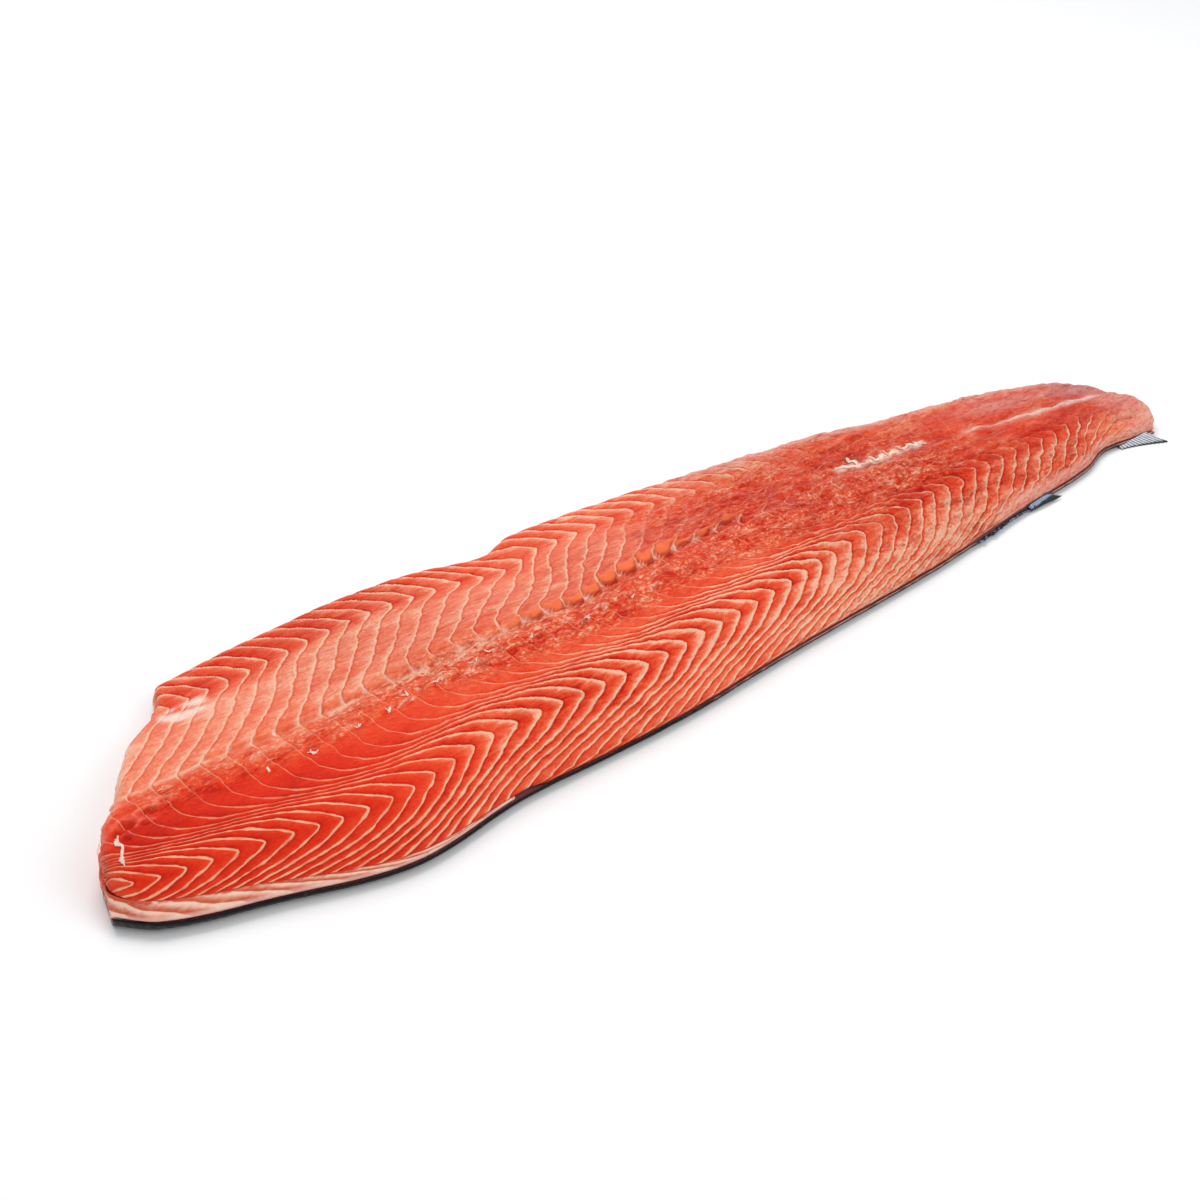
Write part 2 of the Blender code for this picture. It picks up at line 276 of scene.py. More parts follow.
# How pale the flesh is along each lengthwise strip, from 0 deep red to 1 pale pink, by share of length.
fleshTone = {
    "stripPlaces": (0.02, 0.13, 0.25, 0.35, 0.455, 0.60, 0.75, 0.88, 0.98),
    "stripTones": (
        # the first two strips, by the back edge, are painted paler from the middle towards the tail,
        # partly as painted light on the shoulder that faces away from the main lamp
        ((0.00, 0.20), (0.17, 0.24), (0.22, 0.42), (0.45, 0.64), (0.60, 0.86), (0.80, 0.74), (1.0, 0.70)),
        ((0.00, 0.16), (0.17, 0.28), (0.28, 0.52), (0.50, 0.64), (0.65, 0.78), (0.80, 0.70), (1.0, 0.70)),
        ((0.00, 0.06), (0.17, 0.18), (0.28, 0.44), (0.50, 0.50), (0.65, 0.42), (0.85, 0.38), (1.0, 0.60)),
        ((0.00, 0.20), (0.10, 0.22), (0.25, 0.50), (0.36, 0.50), (0.50, 0.44), (0.85, 0.42), (1.0, 0.50)),
        ((0.00, 0.60), (0.15, 0.70), (0.35, 0.66), (0.45, 0.46), (0.60, 0.42), (0.80, 0.52), (1.0, 0.50)),
        ((0.00, 0.74), (0.20, 0.80), (0.42, 0.76), (0.54, 0.50), (0.68, 0.50), (0.85, 0.52), (1.0, 0.52)),
        ((0.00, 0.84), (0.30, 0.78), (0.50, 0.70), (0.60, 0.56), (0.75, 0.50), (0.90, 0.36), (1.0, 0.40)),
        ((0.00, 0.46), (0.18, 0.46), (0.30, 0.58), (0.60, 0.70), (0.80, 0.60), (0.92, 0.48), (1.0, 0.56)),
        ((0.00, 0.50), (0.25, 0.58), (0.60, 0.82), (0.85, 0.80), (1.0, 0.80)),
    ),
}


def toneAt(along, v):
    strips = [curveThrough(points)(along) for points in fleshTone["stripTones"]]
    return curveBetween([place + 0 * v for place in fleshTone["stripPlaces"]], strips, v)


# Marks of the cutting and the muscle on the cut face. Places are shares along and across.
marks = {
    "bulge": 0.46 * mm,
    "bulgeSpacing": 8.0,
    "flakeStep": 0.35,
    "bulgeGain": (
        (1, anywhere, anywhere), (0.5, (0.30, 0.56, 0.08), (-far, 0.11, 0.05)),
        (0.6, (0.1, 0.6, 0.1), (0.86, far, 0.04)),
    ),
    "stepGain": ((1, anywhere, anywhere), (2.2, (0.24, 0.70, 0.08), (0.07, 0.23, 0.04))),
    "flatter": (0.25, 0.80, 0.05),
    # the rows of open muscle ends along the backbone's line: from, to and softness, then reach and height
    "cells": (0.345, 0.575, 0.014),
    "cellReach": 0.062,
    "cellHeight": 1.7 * mm,
    "smallCells": (0.10, 0.345, 0.02),
    "smallCellReach": 0.030,
    "smallCellHeight": 1.3 * mm,
    "ridge": (-0.1, 0.40, 0.04),
    "scraped": ((1, (0.50, 0.74, 0.03), (0.52, 0.86, 0.04)),),
    "rough": (
        (1, (0.27, 0.80, 0.05), (0.26, 0.46, 0.04)), (0.78, (0.03, 0.30, 0.04), (0.33, 0.46, 0.04)),
        (0.8, (0.50, 0.80, 0.05), (0.44, 0.84, 0.06)),
    ),
    "bruise": (
        (1, (0.955, 0.99, 0.02), (0.60, 0.95, 0.08)), (0.18, (0.895, far, 0.035), (0.14, 0.86, 0.06)),
    ),
    "membrane": (
        (0.9, (0.60, 0.97, 0.05), (0.935, far, 0.035)), (0.7, (0.77, 1.10, 0.02), (-far, 0.035, 0.015)),
        (0.45, (0.9675, far, 0.0225), anywhere), (0.45, (0.9675, far, 0.0225), (-far, 0.60, 0.30)),
        (0.55, (0.86, 0.97, 0.03), (0.66, 0.85, 0.05)), (0.7, (0.875, 0.985, 0.02), (0.875, far, 0.035)),
    ),
    "crease": ((0.76, 0.88, 0.03), 0.315),
    "folds": ((1, (0.66, 0.92, 0.03), (-far, 0.17, 0.07)),),
    "silver": (0.832, 0.975, 0.01),
    "comb": ((0.696, 0.790, 0.008), 0.590, 0.028),
    "white": ((1, (0.113, 0.143, 0.008), (0.765, 0.835, 0.015)),),
    "roughness": 0.50 * mm,
    "waves": 0.35 * mm,
    "tailWaves": 0.9 * mm,
    "headScallop": 1.3 * mm,
    # how broken up the colour is: fine and even at the head, heavy towards the tail
    "texture": (
        (0.42, anywhere, anywhere), (0.45, (0.23, far, 0.11), anywhere),
        (0.75, (0.59, far, 0.09), anywhere), (0.35, (0.36, 0.60, 0.06), (0.44, 0.72, 0.06)),
        (0.45, (-far, 0.33, 0.07), (0.42, far, 0.06)),
    ),
    # how far each stands out in mm, and how much it changes the tone, the white and the painted shade
    "heights": {
        "ridge": 1.1, "shadedGap": -0.7, "scraped": -0.5, "crease": -0.9, "pit": -1.0, "lip": 0.5,
        "foldLine": -0.9, "silver": 0.5, "comb": 0.5,
    },
    # the ridge is painted paler, partly its own pale tissue and partly a painted highlight along its crest
    "tones": {"ridge": 0.30, "scraped": -0.10, "lip": 0.45},
    "whites": {"silver": 1.0, "comb": 1.5, "white": 2.6, "tick": 0.8, "lip": 0.3},
    # painted shade: the pits, gaps, creases, folds and the cells' lower edges are painted dark where shade
    # falls
    "paintedShades": {"shadedGap": 0.8, "crease": 0.45, "cellShade": 0.70, "foldLine": 0.5, "tick": -1.0},
    "pitShade": 0.34,
    "mostPitShade": 0.6,
}
pits = (  # along, across, half length, half width in mm, depth in mm, how pale the lip is
    (0.036, 0.335, 4.6, 3.0, 2.0, 0.3), (0.052, 0.365, 3.8, 2.4, 1.8, 0.3),
    (0.026, 0.31, 3.2, 2.2, 1.8, 0.1), (0.045, 0.315, 3.0, 2.0, 1.3, 0.4),
    (0.064, 0.385, 2.6, 1.6, 1.2, 0.5), (0.030, 0.275, 2.6, 1.8, 1.3, 0.1),
    (0.300, 0.33, 2.6, 2.6, 1.3, 0.6), (0.318, 0.35, 2.2, 1.6, 0.9, 0.8),
    (0.352, 0.345, 3.4, 2.0, 1.5, 0.3), (0.385, 0.33, 2.2, 1.8, 1.2, 0.9),
    (0.405, 0.355, 2.6, 1.8, 1.4, 0.9), (0.432, 0.35, 1.8, 1.6, 0.8, 0.6),
    (0.455, 0.33, 2.8, 1.6, 1.3, 0.5), (0.488, 0.335, 2.2, 1.4, 0.8, 0.7),
    (0.52, 0.34, 3.6, 1.5, 0.9, 0.4), (0.268, 0.335, 3.0, 1.6, 0.9, 0.7),
    (0.236, 0.33, 3.4, 1.4, 0.7, 0.8), (0.74, 0.42, 8.0, 4.0, 0.9, 0.1),
    (0.72, 0.36, 6.0, 3.0, 0.8, 0.1), (0.70, 0.30, 6.0, 2.4, 0.7, 0.2),
    (0.76, 0.47, 7.0, 2.2, 0.8, 0.2),
)


# Everything that the relief and the colour of the cut face share, in one place.
def faceMarks(along, v, count):
    x, wide = length * along, widthAt(along)
    y = v * wide
    middle = curves["midline"](along)
    share = count - np.floor(count)
    nearSheet = (share + 0.5) % 1 - 0.5
    toSheet = (2 * share - 1) ** 2  # 0 halfway through a block, 1 at its sheets
    made = {name: zones(marks[name], along, v) for name in ("scraped", "bruise", "white", "folds")}
    made["rough"] = np.clip(zones(marks["rough"], along, v), 0, 1)
    # the cut muscle ends: one to each block, with a scalloped edge of painted shade towards the back
    opened, closed = within(*marks["cells"], along), within(*marks["smallCells"], along)
    vary = 0.8 + 0.45 * patches(np.floor(count) * 11.0, 0 * v, 3.0, 8)
    deep = (marks["cellReach"] * opened + marks["smallCellReach"] * closed) * vary
    deep = np.maximum(deep, 1e-4)
    nearEdge = middle + 0.002 + 0.55 * deep * toSheet + 0.004 * patches(x, 0 * v, 3.0 * mm, 26)
    reach = (v - nearEdge) / deep
    shape = smooth(-0.06, 0.06, reach) * (1 - smooth(0.55, 1.15, reach)) * (1 - toSheet ** 3)
    rounded = np.sqrt(np.clip(1 - ((reach - 0.42) / 0.5) ** 2, 0, 1)) * np.sqrt(1 - toSheet ** 2)
    made["cell"] = shape * (opened + 0.5 * closed)
    made["rise"] = rounded * (marks["cellHeight"] * opened + marks["smallCellHeight"] * closed)
    # painted shade: a thin dark crescent at each cell's back edge, and more in the gaps at its sheets
    shade = smooth(-0.16, -0.04, reach) * (1 - smooth(0.02, 0.20, reach)) * (opened + 0.55 * closed)
    made["cellShade"] = shade + 0.55 * smooth(0.66, 0.95, toSheet) * shape * opened
    # a thin groove along the cells' back edge, painted dark as shade
    gapShare = 0.12 * within(0.10, 0.34, 0.03, along) + within(0.36, 0.58, 0.02, along)
    made["shadedGap"] = bump(nearEdge - 0.005, 0.0045, v) * gapShare
    made["ridge"] = bump(middle - 0.016, 0.012, v) * within(*marks["ridge"], along)
    made["ridge"] = made["ridge"] * patchy(0.65, 0.7, x, y, 4.5 * mm, 23)
    tick = bump(0, 0.10, nearSheet) * bump(middle + 0.012, 0.018, v) * within(0.03, 0.40, 0.03, along)
    crescent = bump(0, 0.20, nearSheet) * bump(nearEdge - 0.010, 0.007, v) * opened
    made["tick"] = np.clip(0.75 * tick + 1.2 * crescent, 0, 1) * patchy(0.8, 0.9, x, y, 2.4 * mm, 24)
    # a crease, painted dark as shade in its hollow
    creaseZone, creaseAt = marks["crease"]
    made["crease"] = bump(creaseAt, 0.010, v) * within(*creaseZone, along)
    # thin slanting creases near the back towards the tail, painted dark as shade in their hollows
    fold = y / (5.5 * mm) - x / (42 * mm) + 1.1 * patches(x, y, 26 * mm, 14)
    foldLine = (1 - np.abs(np.sin(math.pi * fold))) ** 5
    made["foldLine"] = made["folds"] * patchy(0.4, 1.3, x, y, 18 * mm, 15) * foldLine
    # the pale line over the backbone's place near the tail, and the comb of white ends before it
    lineAt = 0.575 - 0.11 * smooth(0.83, 0.925, along) + 0.10 * smooth(0.93, 0.985, along)
    lineHalf = 0.014 + 0.012 * smooth(0.86, 0.93, along) + 0.004 * patches(x, y, 7 * mm, 19)
    made["silver"] = bump(lineAt, lineHalf, v) * within(*marks["silver"], along)
    combZone, combAt, combHalf = marks["comb"]
    made["comb"] = within(*combZone, along) * bump(combAt, combHalf, v)
    made["comb"] = made["comb"] * patchy(0.55, 1.2, x, y, 2.8 * mm, 21)
    besideLine = 0.45 * within(0.84, 0.97, 0.03, along) * bump(lineAt, 0.045, v)
    made["membrane"] = np.clip(zones(marks["membrane"], along, v) + besideLine, 0, 1)
    made["white"] = made["white"] * patchy(0.7, 1.0, x * 0.6, y, 3.4 * mm, 22)
    made["pit"], made["lip"] = 0 * x, 0 * x
    ragged = 0.25 * patches(x, y, 2.2 * mm, 5)
    for pitAlong, pitAcross, halfLength, halfWidth, depth, pale in pits:
        away = np.hypot(
            (x - length * pitAlong) / (halfLength * mm), (y - pitAcross * wide) / (halfWidth * mm)
        )
        away = away + ragged
        made["pit"] = made["pit"] + depth * (1 - smooth(0.3, 1.1, away))
        made["lip"] = made["lip"] + pale * bump(1.35, 0.35, away) * (y > pitAcross * wide)
    return made


def weighed(weights, made):
    return sum(weight * made[name] for name, weight in weights.items())


# How far the cut face stands out of its smooth form, in metres.
def relief(along, v, count, spacing, made):
    x, y = length * along, v * widthAt(along)
    share = count - np.floor(count)
    room = np.clip(spacing / marks["bulgeSpacing"], 0, 1)
    pillow = np.sqrt(np.clip(4 * share * (1 - share), 0, 1)) - 0.6
    step = marks["flakeStep"] * zones(marks["stepGain"], along, v) * (share - 0.5)
    out = marks["bulge"] * (pillow + step) * room * zones(marks["bulgeGain"], along, v)
    out = out * np.clip(1 - 0.75 * within(*marks["flatter"], v) - 0.5 * made["rough"], 0, 1)
    out = out + made["rise"] + mm * weighed(marks["heights"], made)
    towardsTail = smooth(0.50, 0.66, along)
    coarse = patches(x, y, 3.6 * mm, 11) + 0.6 * patches(x, y, 2.6 * mm, 12)
    coarse = coarse * (0.16 + 1.2 * made["rough"] + 0.8 * towardsTail)
    torn = 1.5 * patches(x * 0.5, y + 0.25 * x, 3.2 * mm, 18) * made["rough"]
    out = out + marks["roughness"] * (coarse + torn) + marks["waves"] * patches(x, y, 16 * mm, 13)
    tailWaves = marks["tailWaves"] * patches(x * 0.55, y, 6 * mm, 25)
    return out + tailWaves * towardsTail * within(0.14, 0.92, 0.05, v)


flesh = {
    "stationsAlong": 520,
    "stationsAcross": 150,
    "wallLevels": 8,
    "endBunching": 0.25,
    "backBunching": 1.35,
    "ledge": 0.08,
    "ledgeDepth": 0.02,
    "innerEdge": 0.8 * mm,
    "headRagged": 9 * mm,
    # how far from the head cut the end is painted paler, as painted light
    "paleEnd": 12 * mm,
    "wallSwell": 0.8 * mm,
    "crumble": 0.35 * mm,
    "paleEndTone": 0.30,
    # how far the sheets and the tone go on changing down the walls
    "wallTurn": 0.9,
    "wallSpacing": (3, 9),  # mm
    "wallDarker": 0.10,
}
fat = {
    "end": 0.262,
    "fade": 0.03,
    "height": (  # mm
        (0.00, 6.6), (0.03, 7.1), (0.06, 7.0), (0.10, 6.1), (0.14, 5.0), (0.20, 3.6), (0.262, 1.8),
    ),
    "depth": ((0.00, 22.0), (0.16, 18.0), (0.262, 8.0)),  # mm
    "clearance": 0.08 * mm,
    "swell": 0.3 * mm,
    "waves": 0.25 * mm,
    "ragged": 0.4 * mm,
    "stations": 260,
    "faceRows": 14,
    "innerRows": 6,
}
fatHeight, fatDepth = curveThrough(fat["height"]), curveThrough(fat["depth"])


# How far across, as a share, the flesh starts above the fat.
def fatRim(u):
    along = planPlace(u, 0.0 * u)[0]
    target = fleshFloor(along, 0.0 * u) + mm * fatHeight(along)
    low, high = 0.0 * u, 0.0 * u + side["shoulderWidth"] / width
    for _ in range(30):
        middle = (low + high) / 2
        below = topPlace(u, middle)[..., 2] < target
        low, high = np.where(below, middle, low), np.where(below, high, middle)
    return low * (along < fat["end"])


# How far across, as a share, the fat goes under the flesh.
def fatReach(u):
    along = planPlace(u, 0.0 * u)[0]
    fade = np.clip((fat["end"] + fat["fade"] - along) / fat["fade"], 0, 1)
    return mm * fatDepth(np.minimum(along, fat["end"])) * fade / widthAt(along)


def bunched(t, amount):
    return (1 - amount) * t + amount * (0.5 - 0.5 * np.cos(math.pi * t))


# A new closed object from points and faces, with one number per point for each named value.
def addPiece(name, points, faces, values, finish, splitBase=False):
    mesh = bpy.data.meshes.new(name)
    mesh.from_pydata(points.tolist(), [], faces)
    for valueName, numbers in values.items():
        layer = mesh.attributes.new(valueName, "FLOAT", "POINT")
        layer.data.foreach_set("value", np.ascontiguousarray(numbers, np.float32))
    mesh.validate()
    mesh.materials.append(finish)
    bm = bmesh.new()
    bm.from_mesh(mesh)
    if splitBase:
        bmesh.ops.triangulate(bm, faces=[face for face in bm.faces if len(face.verts) > 4])
    bmesh.ops.recalc_face_normals(bm, faces=bm.faces)
    bm.to_mesh(mesh)
    bm.free()
    mesh.shade_smooth()
    piece = bpy.data.objects.new(name, mesh)
    bpy.context.scene.collection.objects.link(piece)
    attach(piece, "root")
    print(name, len(mesh.polygons), "faces")
    return piece


def gridFaces(rows, columns, first=0, flip=False):
    i, j = np.meshgrid(np.arange(rows - 1), np.arange(columns - 1), indexing="ij")
    a = (first + i * columns + j).ravel()
    corners = np.stack([a, a + columns, a + columns + 1, a + 1], axis=-1)
    if flip:
        corners = corners[:, ::-1]
    return corners.tolist()


# The places round the edge of a grid, in order.
def rimOf(rows, columns):
    rim = [(i, 0) for i in range(rows)]
    rim += [(rows - 1, j) for j in range(1, columns)]
    rim += [(i, columns - 1) for i in range(rows - 2, -1, -1)]
    return rim + [(0, j) for j in range(columns - 2, 0, -1)]


# A thin closed piece from the grids of its two faces, with each named value on the upper and the lower.
def addSheet(name, upper, lower, values, finish):
    rows, columns = upper.shape[:2]
    shift = rows * columns
    points = np.concatenate([upper.reshape(-1, 3), lower.reshape(-1, 3)])
    faces = gridFaces(rows, columns) + gridFaces(rows, columns, shift, flip=True)
    rim = [i * columns + j for i, j in rimOf(rows, columns)]
    faces += [(a, b, b + shift, a + shift) for a, b in zip(rim, rim[1:] + rim[:1])]
    spread = {
        valueName: np.concatenate([above.ravel(), below.ravel()])
        for valueName, (above, below) in values.items()
    }
    return addPiece(name, points, faces, spread, finish)


def unitNormals(points):
    normals = np.cross(np.gradient(points, axis=0), np.gradient(points, axis=1))
    return normals / np.maximum(np.linalg.norm(normals, axis=-1, keepdims=True), 1e-12)


# Millimetres from sheet to sheet, square to the sheets, on the curved face.
def spacingOn(points, count):
    a, b = np.gradient(points, axis=0), np.gradient(points, axis=1)
    p, q = np.gradient(count)
    aa, bb, ab = (a * a).sum(-1), (b * b).sum(-1), (a * b).sum(-1)
    steep = (bb * p * p + aa * q * q - 2 * ab * p * q) / np.maximum(aa * bb - ab * ab, 1e-18)
    return 1000 / np.sqrt(np.maximum(steep, 1e-6))


class Wire:
    # A shader socket that sums, products and powers can be written on.
    def __init__(self, finish, socket):
        self.finish = finish
        self.socket = socket

    def calculate(self, operation, *values):
        inputs = dict(enumerate(values))
        return self.finish.node("ShaderNodeMath", {"operation": operation}, inputs)

    def __abs__(self):
        return self.calculate("ABSOLUTE", self)

    def fraction(self):
        return self.calculate("FRACT", self)

    def least(self, other):
        return self.calculate("MINIMUM", self, other)

    def most(self, other):
        return self.calculate("MAXIMUM", self, other)

    # 0 below start, 1 above end, smooth between
    def fade(self, start, end):
        inputs = {"Value": self, "From Min": start, "From Max": end}
        return self.finish.node("ShaderNodeMapRange", {"interpolation_type": "SMOOTHSTEP"}, inputs)


# The operators, each with its reflected form, so that 1 - mask works too.
for name, operation in (
    ("add", "ADD"), ("sub", "SUBTRACT"), ("mul", "MULTIPLY"), ("truediv", "DIVIDE"), ("pow", "POWER"),
):
    def forward(self, other, operation=operation):
        return self.calculate(operation, self, other)

    def reflected(self, other, operation=operation):
        return self.calculate(operation, other, self)

    setattr(Wire, f"__{name}__", forward)
    setattr(Wire, f"__r{name}__", reflected)


class Finish:
    # One material and its nodes.
    def __init__(self, name):
        self.material = bpy.data.materials.new(name)
        self.material.use_nodes = True
        self.tree = self.material.node_tree
        self.shader = self.tree.nodes["Principled BSDF"]

    # Adds a node: its settings first, then a value or a link for each named socket.
    def node(self, kind, settings=None, inputs=None, output=0):
        made = self.tree.nodes.new(kind)
        for name, setting in (settings or {}).items():
            if name == "stops":
                self.setStops(made.color_ramp, setting)
            else:
                setattr(made, name, setting)
        for name, value in (inputs or {}).items():
            self.feed(made.inputs[name], value)
        return Wire(self, made.outputs[output])

    def setStops(self, band, stops):
        while len(band.elements) < len(stops):
            band.elements.new(1.0)
        for element, (place, colour) in zip(band.elements, stops):
            element.position = place
            element.color = (*colour, 1)

    def feed(self, socket, value):
        if isinstance(value, Wire):
            self.tree.links.new(value.socket, socket)
        elif isinstance(value, tuple) and len(value) == 3 and socket.type == "RGBA":
            socket.default_value = (*value, 1)
        else:
            socket.default_value = value

    def attribute(self, name):
        return self.node("ShaderNodeAttribute", {"attribute_name": name}, output="Fac")

    def place(self, stretch=(1, 1, 1)):
        where = self.node("ShaderNodeTexCoord", output="Object")
        return self.node("ShaderNodeVectorMath", {"operation": "MULTIPLY"}, {0: where, 1: stretch})

    # Noise about 0, with grains of that many mm
    def noise(self, size, stretch=(1, 1, 1), detail=2.0, distortion=0.0, harsh=0.5):
        inputs = {
            "Vector": self.place(stretch), "Scale": 1000 / size, "Detail": detail,
            "Distortion": distortion, "Roughness": harsh,
        }
        return self.node("ShaderNodeTexNoise", None, inputs) - 0.5

    def mix(self, factor, first, second):
        settings = {"data_type": "RGBA", "clamp_factor": True}
        return self.node("ShaderNodeMix", settings, {0: factor, 6: first, 7: second}, output=2)

    def ramp(self, value, stops):
        return self.node("ShaderNodeValToRGB", {"stops": stops}, {"Fac": value})

    def raised(self, heightWire, distance, strength=1.0):
        inputs = {"Height": heightWire, "Distance": distance, "Strength": strength}
        return self.node("ShaderNodeBump", None, inputs)

    def finished(self, **inputs):
        for name, value in inputs.items():
            self.feed(self.shader.inputs[name.replace("_", " ")], value)
        return self.material


# A colour as it shows on a screen, 0 to 255, turned into the shader's own numbers.
def shown(red, green, blue):
    return tuple(
        (part / 255 / 12.92) if part < 10 else ((part / 255 + 0.055) / 1.055) ** 2.4
        for part in (red, green, blue)
    )


# What the flesh's shader takes from the points, in this order.
fleshValues = (
    "sheetCount", "sheetSpacing", "lineWidth", "lineStrength", "tone", "lobe", "dark", "cell", "white",
    "membrane", "bruise", "roughCut", "texture",
)
fleshLook = {
    "tones": (
        (0.00, shown(186, 22, 4)), (0.18, shown(220, 42, 14)), (0.42, shown(234, 74, 38)),
        (0.62, shown(240, 102, 66)), (0.80, shown(246, 136, 102)), (1.00, shown(252, 186, 156)),
    ),
    "sheet": shown(255, 184, 144),
    "paleSheet": shown(255, 216, 180),
    # the colour of the painted shade in hollows and under the cells
    "dark": shown(166, 18, 4),
    "cell": shown(255, 122, 70),
    # the colour of painted streaks of sheen
    "paintedSheen": shown(246, 172, 150),
    "deep": shown(186, 30, 14),
    "membrane": shown(244, 182, 168),
    "white": shown(255, 228, 214),
    "bruise": shown(170, 66, 82),
    "noises": {  # size in mm, stretch, detail, distortion and roughness
        "grain": (2.8, (0.35, 1, 1), 5.0, 0.3, 0.7),
        "mottle": (1.7, (0.8, 1, 1), 4.0, 0.4, 0.7),
        "blotch": (15, (0.45, 1, 1), 3.0, 0.6),
        "torn": (5.5, (0.5, 1, 1), 5.0, 1.0, 0.7),
        "wisp": (7.0, (0.28, 1, 1), 5.0, 1.6, 0.65),
        "fleck": (1.6, (0.7, 1, 1), 3.0, 0.6),
    },
    "noiseGain": 4,
    # how much each of them and each mark changes the tone
    "grain": 0.15,
    "mottle": 0.17,
    "blotch": 0.16,
    "torn": 0.48,
    "wisp": 0.30,
    # painted shade along the tailward side of each line
    "shadeUnderSheet": 0.30,
    "speck": 0.30,
    # the blocks' lobes are painted with light and shade: paler before each sheet, darker after
    "lobe": 0.85,
    "lineJitter": 2.6,  # mm
    # how strongly each colour lies over the flesh
    "amounts": {
        "broad": 0.8, "paintedSheen": 0.75, "deepWisp": 0.8, "deepTorn": 0.7, "deepFleck": 0.6,
        "cell": 0.85, "bruise": 0.75, "dark": 0.85, "sheet": 0.92,
    },
    # how much each of them stands out as a bump
    "bumps": {
        "grain": 0.20, "mottle": 0.20, "speck": 0.12, "shadeUnderSheet": 0.45, "torn": 0.60,
        "patched": 0.70, "lobe": 0.35, "line": 0.10,
    },
    "bumpHeight": 1.2 * mm,
    "rough": 0.42,
    "shine": (1.0, 0.80, 0.72),
    "coat": 0.06,
    "coatRough": 0.14,
    "subsurface": 0.12,
    "subsurfaceScale": 2.2 * mm,
}


def makeFleshFinish():
    look = fleshLook
    f = Finish("wetSalmonFlesh")
    taken = [f.attribute(name) for name in fleshValues]
    count, spacing, lineWidth, lineStrength, tone, lobe, dark, cell, white, *others = taken
    membrane, bruise, rough, texture = others
    amounts, bumps, gain = look["amounts"], look["bumps"], look["noiseGain"]
    grain, mottle, blotch, torn, wisp, fleck = [f.noise(*row) * gain for row in look["noises"].values()]
    # pale specks: partly fat flecks, partly painted wet glints
    speck = (fleck + 0.5 * rough).fade(0.45, 1.0)

    # distance to the nearest sheet in mm, and the line that it draws
    jitter = f.noise(7.0, (1, 1, 1), 3.0) * look["lineJitter"] * texture
    phase = count + jitter / spacing
    away = abs((phase + 0.5).fraction() - 0.5) * spacing
    uneven = (1 + 2.4 * f.noise(5, (1, 1, 1), 2.0)).most(0.3)
    half = lineWidth * uneven * 0.5
    worn = (1 + 2.2 * f.noise(9, (1, 1, 1), 3.0)).least(1.1)
    line = (1 - away.fade(half * 0.4, half * 1.7)) * lineStrength * worn
    # painted light and shade: each block is painted palest, as a highlight, just before its sheet and
    # darkest, as shade, just after
    ahead = phase.fraction()
    shade = (ahead ** 2.2 - 0.35) * lobe
    # painted shade: a narrow darker band along the tailward side of each line
    after = (1 - away.fade(half, half + 1.6)) * lineStrength * (1 - ahead.fade(0.3, 0.5))
    value = tone + shade * look["lobe"] - after * texture * look["shadeUnderSheet"]
    value = value + texture * (grain * look["grain"] + mottle * look["mottle"] + blotch * look["blotch"])
    value = value + speck * look["speck"] * (0.2 + rough) + torn * rough * look["torn"]
    # painted highlights: pale patches over the blocks' lobes
    value = value + wisp * lobe * look["wisp"]
    colour = f.ramp(value, look["tones"])
    patched = (texture - 0.75).most(0)
    broad = f.noise(20, (0.45, 1, 1), 4.0, 1.0) * 4
    colour = f.mix(broad.fade(0.15, 0.9) * patched * amounts["broad"], colour, look["deep"])
    # painted highlight: pale streaks of sheen where the colour is most broken up
    colour = f.mix(wisp.fade(0.25, 0.9) * patched * amounts["paintedSheen"], colour, look["paintedSheen"])
    colour = f.mix((0 - wisp).fade(0.15, 0.8) * patched * amounts["deepWisp"], colour, look["deep"])
    colour = f.mix((0 - torn).fade(0.25, 0.9) * rough * amounts["deepTorn"], colour, look["deep"])
    flecked = (0 - fleck).fade(0.35, 0.9) * (rough + patched * 0.5)
    colour = f.mix(flecked * amounts["deepFleck"], colour, look["deep"])
    colour = f.mix(cell * amounts["cell"], colour, look["cell"])
    colour = f.mix(bruise * amounts["bruise"], colour, look["bruise"])
    colour = f.mix(membrane * (0.66 + mottle * 0.4 + wisp * 0.6), colour, look["membrane"])
    # painted shade over the pits, gaps, creases, folds and the cells' lower edges
    colour = f.mix(dark * amounts["dark"], colour, look["dark"])
    sheetColour = f.mix(tone * 1.2 + texture * 0.4 - 0.4, look["sheet"], look["paleSheet"])
    colour = f.mix(line * amounts["sheet"], colour, sheetColour)
    colour = f.mix(white * (0.8 + mottle * 0.25), colour, look["white"])

    fine = texture * (grain * bumps["grain"] + mottle * bumps["mottle"]) + speck * bumps["speck"]
    fine = fine - after * texture * bumps["shadeUnderSheet"] + torn * rough * bumps["torn"]
    fine = fine + wisp * patched * bumps["patched"] + wisp * lobe * bumps["lobe"] + line * bumps["line"]
    normal = f.raised(fine, look["bumpHeight"])
    wet = look["rough"] + grain * 0.06 - line * 0.05 - white * 0.1
    return f.finished(
        Base_Color=colour,
        Roughness=wet,
        Normal=normal,
        Coat_Weight=look["coat"],
        Coat_Roughness=look["coatRough"],
        Subsurface_Weight=look["subsurface"],
        Subsurface_Radius=(1.0, 0.35, 0.2),
        Subsurface_Scale=look["subsurfaceScale"],
        IOR=1.36,
        Specular_IOR_Level=0.32,
        Specular_Tint=look["shine"],
    )


